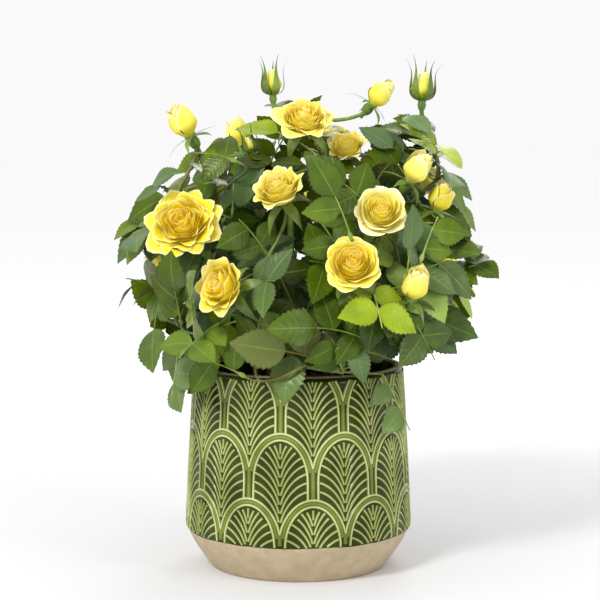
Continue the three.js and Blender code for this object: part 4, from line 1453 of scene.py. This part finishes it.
def arch(across, kind):
    """The height of an arch's outline, in fan pitches, at a distance from its middle."""
    half_width, rise, top = ARCH[kind]
    return top - rise * (1 - np.sqrt(np.maximum(0, 1 - (across / half_width) ** 2)))


def arched(across, kind):
    return np.stack([across, arch(across, kind)], axis=1)


def upright(across, low, high, count):
    return np.stack([np.full(count, across), np.linspace(low, high, count)], axis=1)


def add_ridge(patchwork, line, width, height, crest):
    """A rounded ridge along a line of (pitches round the pot, millimetres up)."""
    line = np.asarray(line, float)
    around = line[:, 0] / FAN_COUNT * math.tau
    steps = np.gradient(line * [FAN_PITCH, 1], axis=0)
    across = unit(np.stack([-steps[:, 1], steps[:, 0]], axis=1))
    shares = np.array([-1, -0.5, 0, 0.5, 1])
    heights = np.array([-0.25, 0.72, 1, 0.72, -0.25]) * height
    offset = across[:, None] * shares[None, :, None] * width / 2
    angle = around[:, None] + offset[..., 0] / FAN_RADIUS
    level = line[:, 1:] + offset[..., 1]
    radius = pot_outside(level) + heights
    grid = np.stack([radius * np.sin(angle), -radius * np.cos(angle), level], axis=-1)
    paint = np.array([0.0, 0.75, 1, 0.75, 0.0]) * crest
    patchwork.add(grid, crest=paint)


def kept_runs(line, keep):
    """Splits a line into the runs of points that are kept."""
    runs, run = [], []
    for point, kept in zip(line, keep):
        if kept:
            run.append(point)
        elif run:
            runs.append(run)
            run = []
    runs.append(run)
    return [run for run in runs if len(run) > 2]


def fan_lines():
    """The lines of one fan, in pitches from the top of its arch: its outline, ribs and stem.

    With each line come its width, its height and how pale the glaze is on its crest.
    """
    drop = ROW_RISE / FAN_PITCH
    sweep = np.linspace(-math.pi / 2, math.pi / 2, 29)
    inner = arched(INNER_HALF_WIDTH * np.sin(sweep), "inner")
    flank = (-0.66, arch(0.08, "outer") - drop, 8)
    left = upright(-INNER_HALF_WIDTH, *flank)[::-1]
    outline = np.concatenate([left, inner, upright(INNER_HALF_WIDTH, *flank)])
    hood = arched(np.linspace(-0.5, 0.5, 33), "outer")
    band = arched(np.linspace(-0.46, 0.46, 33), "band")
    stem = upright(0.5, -0.42, 0.1 - drop, 12)
    spike = upright(0.0, -0.2, -0.05, 5)
    lines = [(outline, 1.0, 1.0, 1.0), (hood, 1.0, 1.0, 1.0), (band, 1.7, 0.4, 0.5),
             (stem, 1.7, 0.5, 0.5), (spike, 0.9, 0.9, 0.85)]
    for index in range(1, RIB_PAIRS + 1):
        for turn in (-1, 1):
            across = np.linspace(0.012, 0.405, 15)
            rib = arch(0.5 - across, "outer") - drop + RIB_STEP * index
            under = rib < arch(across, "inner") - 0.03
            runs = kept_runs(np.stack([across * turn, rib], axis=1), under)
            lines += [(run, 0.95, 0.95, 0.88) for run in runs]
    return lines


def build_pot():
    """The wall with its foot and rim, and the fans that stand out of its glaze."""
    wall = Patchwork("crest")
    outer = [(float(pot_outside(height)), height) for height in
             (*np.linspace(0, BELLY_HEIGHT, 26), *np.linspace(32, POT_HEIGHT - 1, 24))]
    rim_radius = RIM_RADIUS - POT_WALL / 2
    rim = [(rim_radius + RIM_HALF_WIDTH * math.cos(turn),
            POT_HEIGHT - RIM_HALF_HEIGHT + RIM_HALF_HEIGHT * math.sin(turn))
           for turn in np.linspace(0.2, math.pi - 0.2, 9)]
    inner = [(float(pot_inside(height)), height)
             for height in np.linspace(POT_HEIGHT - 2, WALL_SEEN_TO, 10)]
    profile = [(0.01, 0), (FOOT_RADIUS * 0.5, 0), *outer, *rim, *inner]
    wall.add(turned(profile, POT_SIDES), wrap=True, crest=0.06)
    fans = Patchwork("crest")
    lines = fan_lines()
    for row in range(FAN_ROWS):
        for fan in range(FAN_COUNT):
            middle = fan + FAN_OFFSET / math.tau * FAN_COUNT + row % 2 / 2
            top = FIRST_FAN_TOP + ROW_RISE * row
            for line, width, height, crest in lines:
                placed = np.asarray(line) * [1, FAN_PITCH] + [middle, top]
                level = placed[:, 1]
                on_wall = (level > GLAZE_LINE + 0.5) & (level < POT_HEIGHT - BELOW_RIM)
                for run in kept_runs(placed, on_wall):
                    add_ridge(fans, run, RIDGE_WIDTH * width, RIDGE_HEIGHT * height, crest)
    paint = pot_paint()
    wall.build("pot_wall", paint, "glazed_pot", "pot")
    fans.build("pot_fan_relief", paint, "glazed_pot")


SOIL_RINGS = 40
SOIL_SIDES = 120
SOIL_WAVES = 14
SOIL_SINK = 1.2
LUMP_HEIGHT = 0.45
CRUMBS = 260
CRUMB_REACH = 64


def build_soil():
    """Lumpy peat with loose crumbs on it."""
    random = seeded_random(SOIL_SEED)
    ground = Patchwork()
    radius = np.linspace(0.3, float(pot_inside(SOIL_TOP)) - 0.3, SOIL_RINGS)
    angle = np.arange(SOIL_SIDES) / SOIL_SIDES * math.tau
    x, y = np.outer(radius, np.cos(angle)), np.outer(radius, np.sin(angle))
    lumps = sum(
        math.cos(6 * random()) * np.sin(x * (0.1 + 0.3 * random()) + 6 * random())
        * np.sin(y * (0.1 + 0.3 * random()) + 6 * random())
        for _ in range(SOIL_WAVES)
    )
    level = SOIL_TOP - SOIL_SINK + LUMP_HEIGHT * lumps
    ground.add(np.stack([x, y, level], axis=-1), wrap=True)
    for _ in range(CRUMBS):
        reach = CRUMB_REACH * math.sqrt(random())
        turn = math.tau * random()
        size = 0.6 + 1.3 * random()
        profile = [
            (0.01, -size), (0.8 * size, -0.5 * size), (size, 0.1 * size), (0.01, 0.8 * size)
        ]
        crumb = turned(profile, 6, random()) * (0.75 + 0.5 * random())
        place = np.array([reach * math.cos(turn), reach * math.sin(turn), SOIL_TOP - 0.4])
        tilt = unit(np.array([random() - 0.5, random() - 0.5, 0.6]))
        ground.add(in_frame(crumb, place, tilt), wrap=True)
    ground.build("peat_soil", soil_paint(), "soil", "soil")


# ------------------------------------------------------------------- floor, lights and camera


FLOOR_REACH = 40
FLOOR_DROP = 0.0002
WORLD_STRENGTH = 0.95

# Each light's place, its size and its power.
LIGHTS = {
    "key": ((-0.8, -1.3, 1.4), 0.4, 24),
    "fill": ((1.3, -1.0, 0.9), 0.5, 5),
    "rim": ((0.3, 1.2, 1.1), 0.6, 5),
}
LIT_POINT = (0, 0, 0.2)

LENS = 108.2
SENSOR_WIDTH = 36
SHIFT_X = 0.0028
FURTHEST_SEEN = 100
CAMERA_PLACE = (0, -1.2548, 0.3058)
CAMERA_PITCH = math.radians(90 - 5.48)


def build_floor():
    """A wide pale floor that grows lighter with the distance."""
    mesh = bpy.data.meshes.new("floor")
    low, high = -FLOOR_REACH, FLOOR_REACH
    corners = [(low, low, 0), (high, low, 0), (high, high, 0), (low, high, 0)]
    mesh.from_pydata(corners, [], [(0, 1, 2, 3)])
    paint = Paint("pale_floor", Specular_IOR_Level=0.2)
    distance = paint.node("VectorMath", "Value", {"operation": "LENGTH"}, Vector=paint.place())
    near = paint.ramp(paint.noise(3), (0.3, 216, 216, 218), (0.7, 220, 220, 221))
    colour = paint.mix(paint.span(distance, 0.2, 1.6), near, srgb(255, 255, 255))
    mesh.materials.append(paint.finish(colour, paint.varied(paint.noise(5), 0.6, 0.7)))
    floor = bpy.data.objects.new("floor", mesh)
    floor.location.z = -FLOOR_DROP
    bpy.context.scene.collection.objects.link(floor)


def add_light(name, place, size, power):
    light = bpy.data.lights.new(name, "AREA")
    light.size = size
    light.energy = power
    lamp = bpy.data.objects.new(name, light)
    lamp.location = place
    heading = np.array(LIT_POINT) - np.array(place)
    tilt = math.acos(-unit(heading)[2])
    lamp.rotation_euler = (tilt, 0, math.atan2(heading[1], heading[0]) - math.pi / 2)
    bpy.context.scene.collection.objects.link(lamp)


def build_studio():
    world = bpy.data.worlds.new("studio")
    world.use_nodes = True
    background = world.node_tree.nodes["Background"]
    background.inputs["Color"].default_value = (1, 1, 1, 1)
    background.inputs["Strength"].default_value = WORLD_STRENGTH
    bpy.context.scene.world = world
    bpy.context.scene.view_settings.view_transform = "Standard"
    for name, settings in LIGHTS.items():
        add_light(name, *settings)


def build_camera():
    camera = bpy.data.cameras.new("camera")
    camera.lens = LENS
    camera.sensor_width = SENSOR_WIDTH
    camera.shift_x = SHIFT_X
    camera.clip_end = FURTHEST_SEEN
    viewer = bpy.data.objects.new("camera", camera)
    viewer.location = CAMERA_PLACE
    viewer.rotation_euler = (CAMERA_PITCH, 0, 0)
    bpy.context.scene.collection.objects.link(viewer)
    bpy.context.scene.camera = viewer


build_camera()
build_studio()
build_floor()
grow_crown()
build_twigs(build_leaves())
build_canes()
build_blossom()
build_pot()
build_soil()
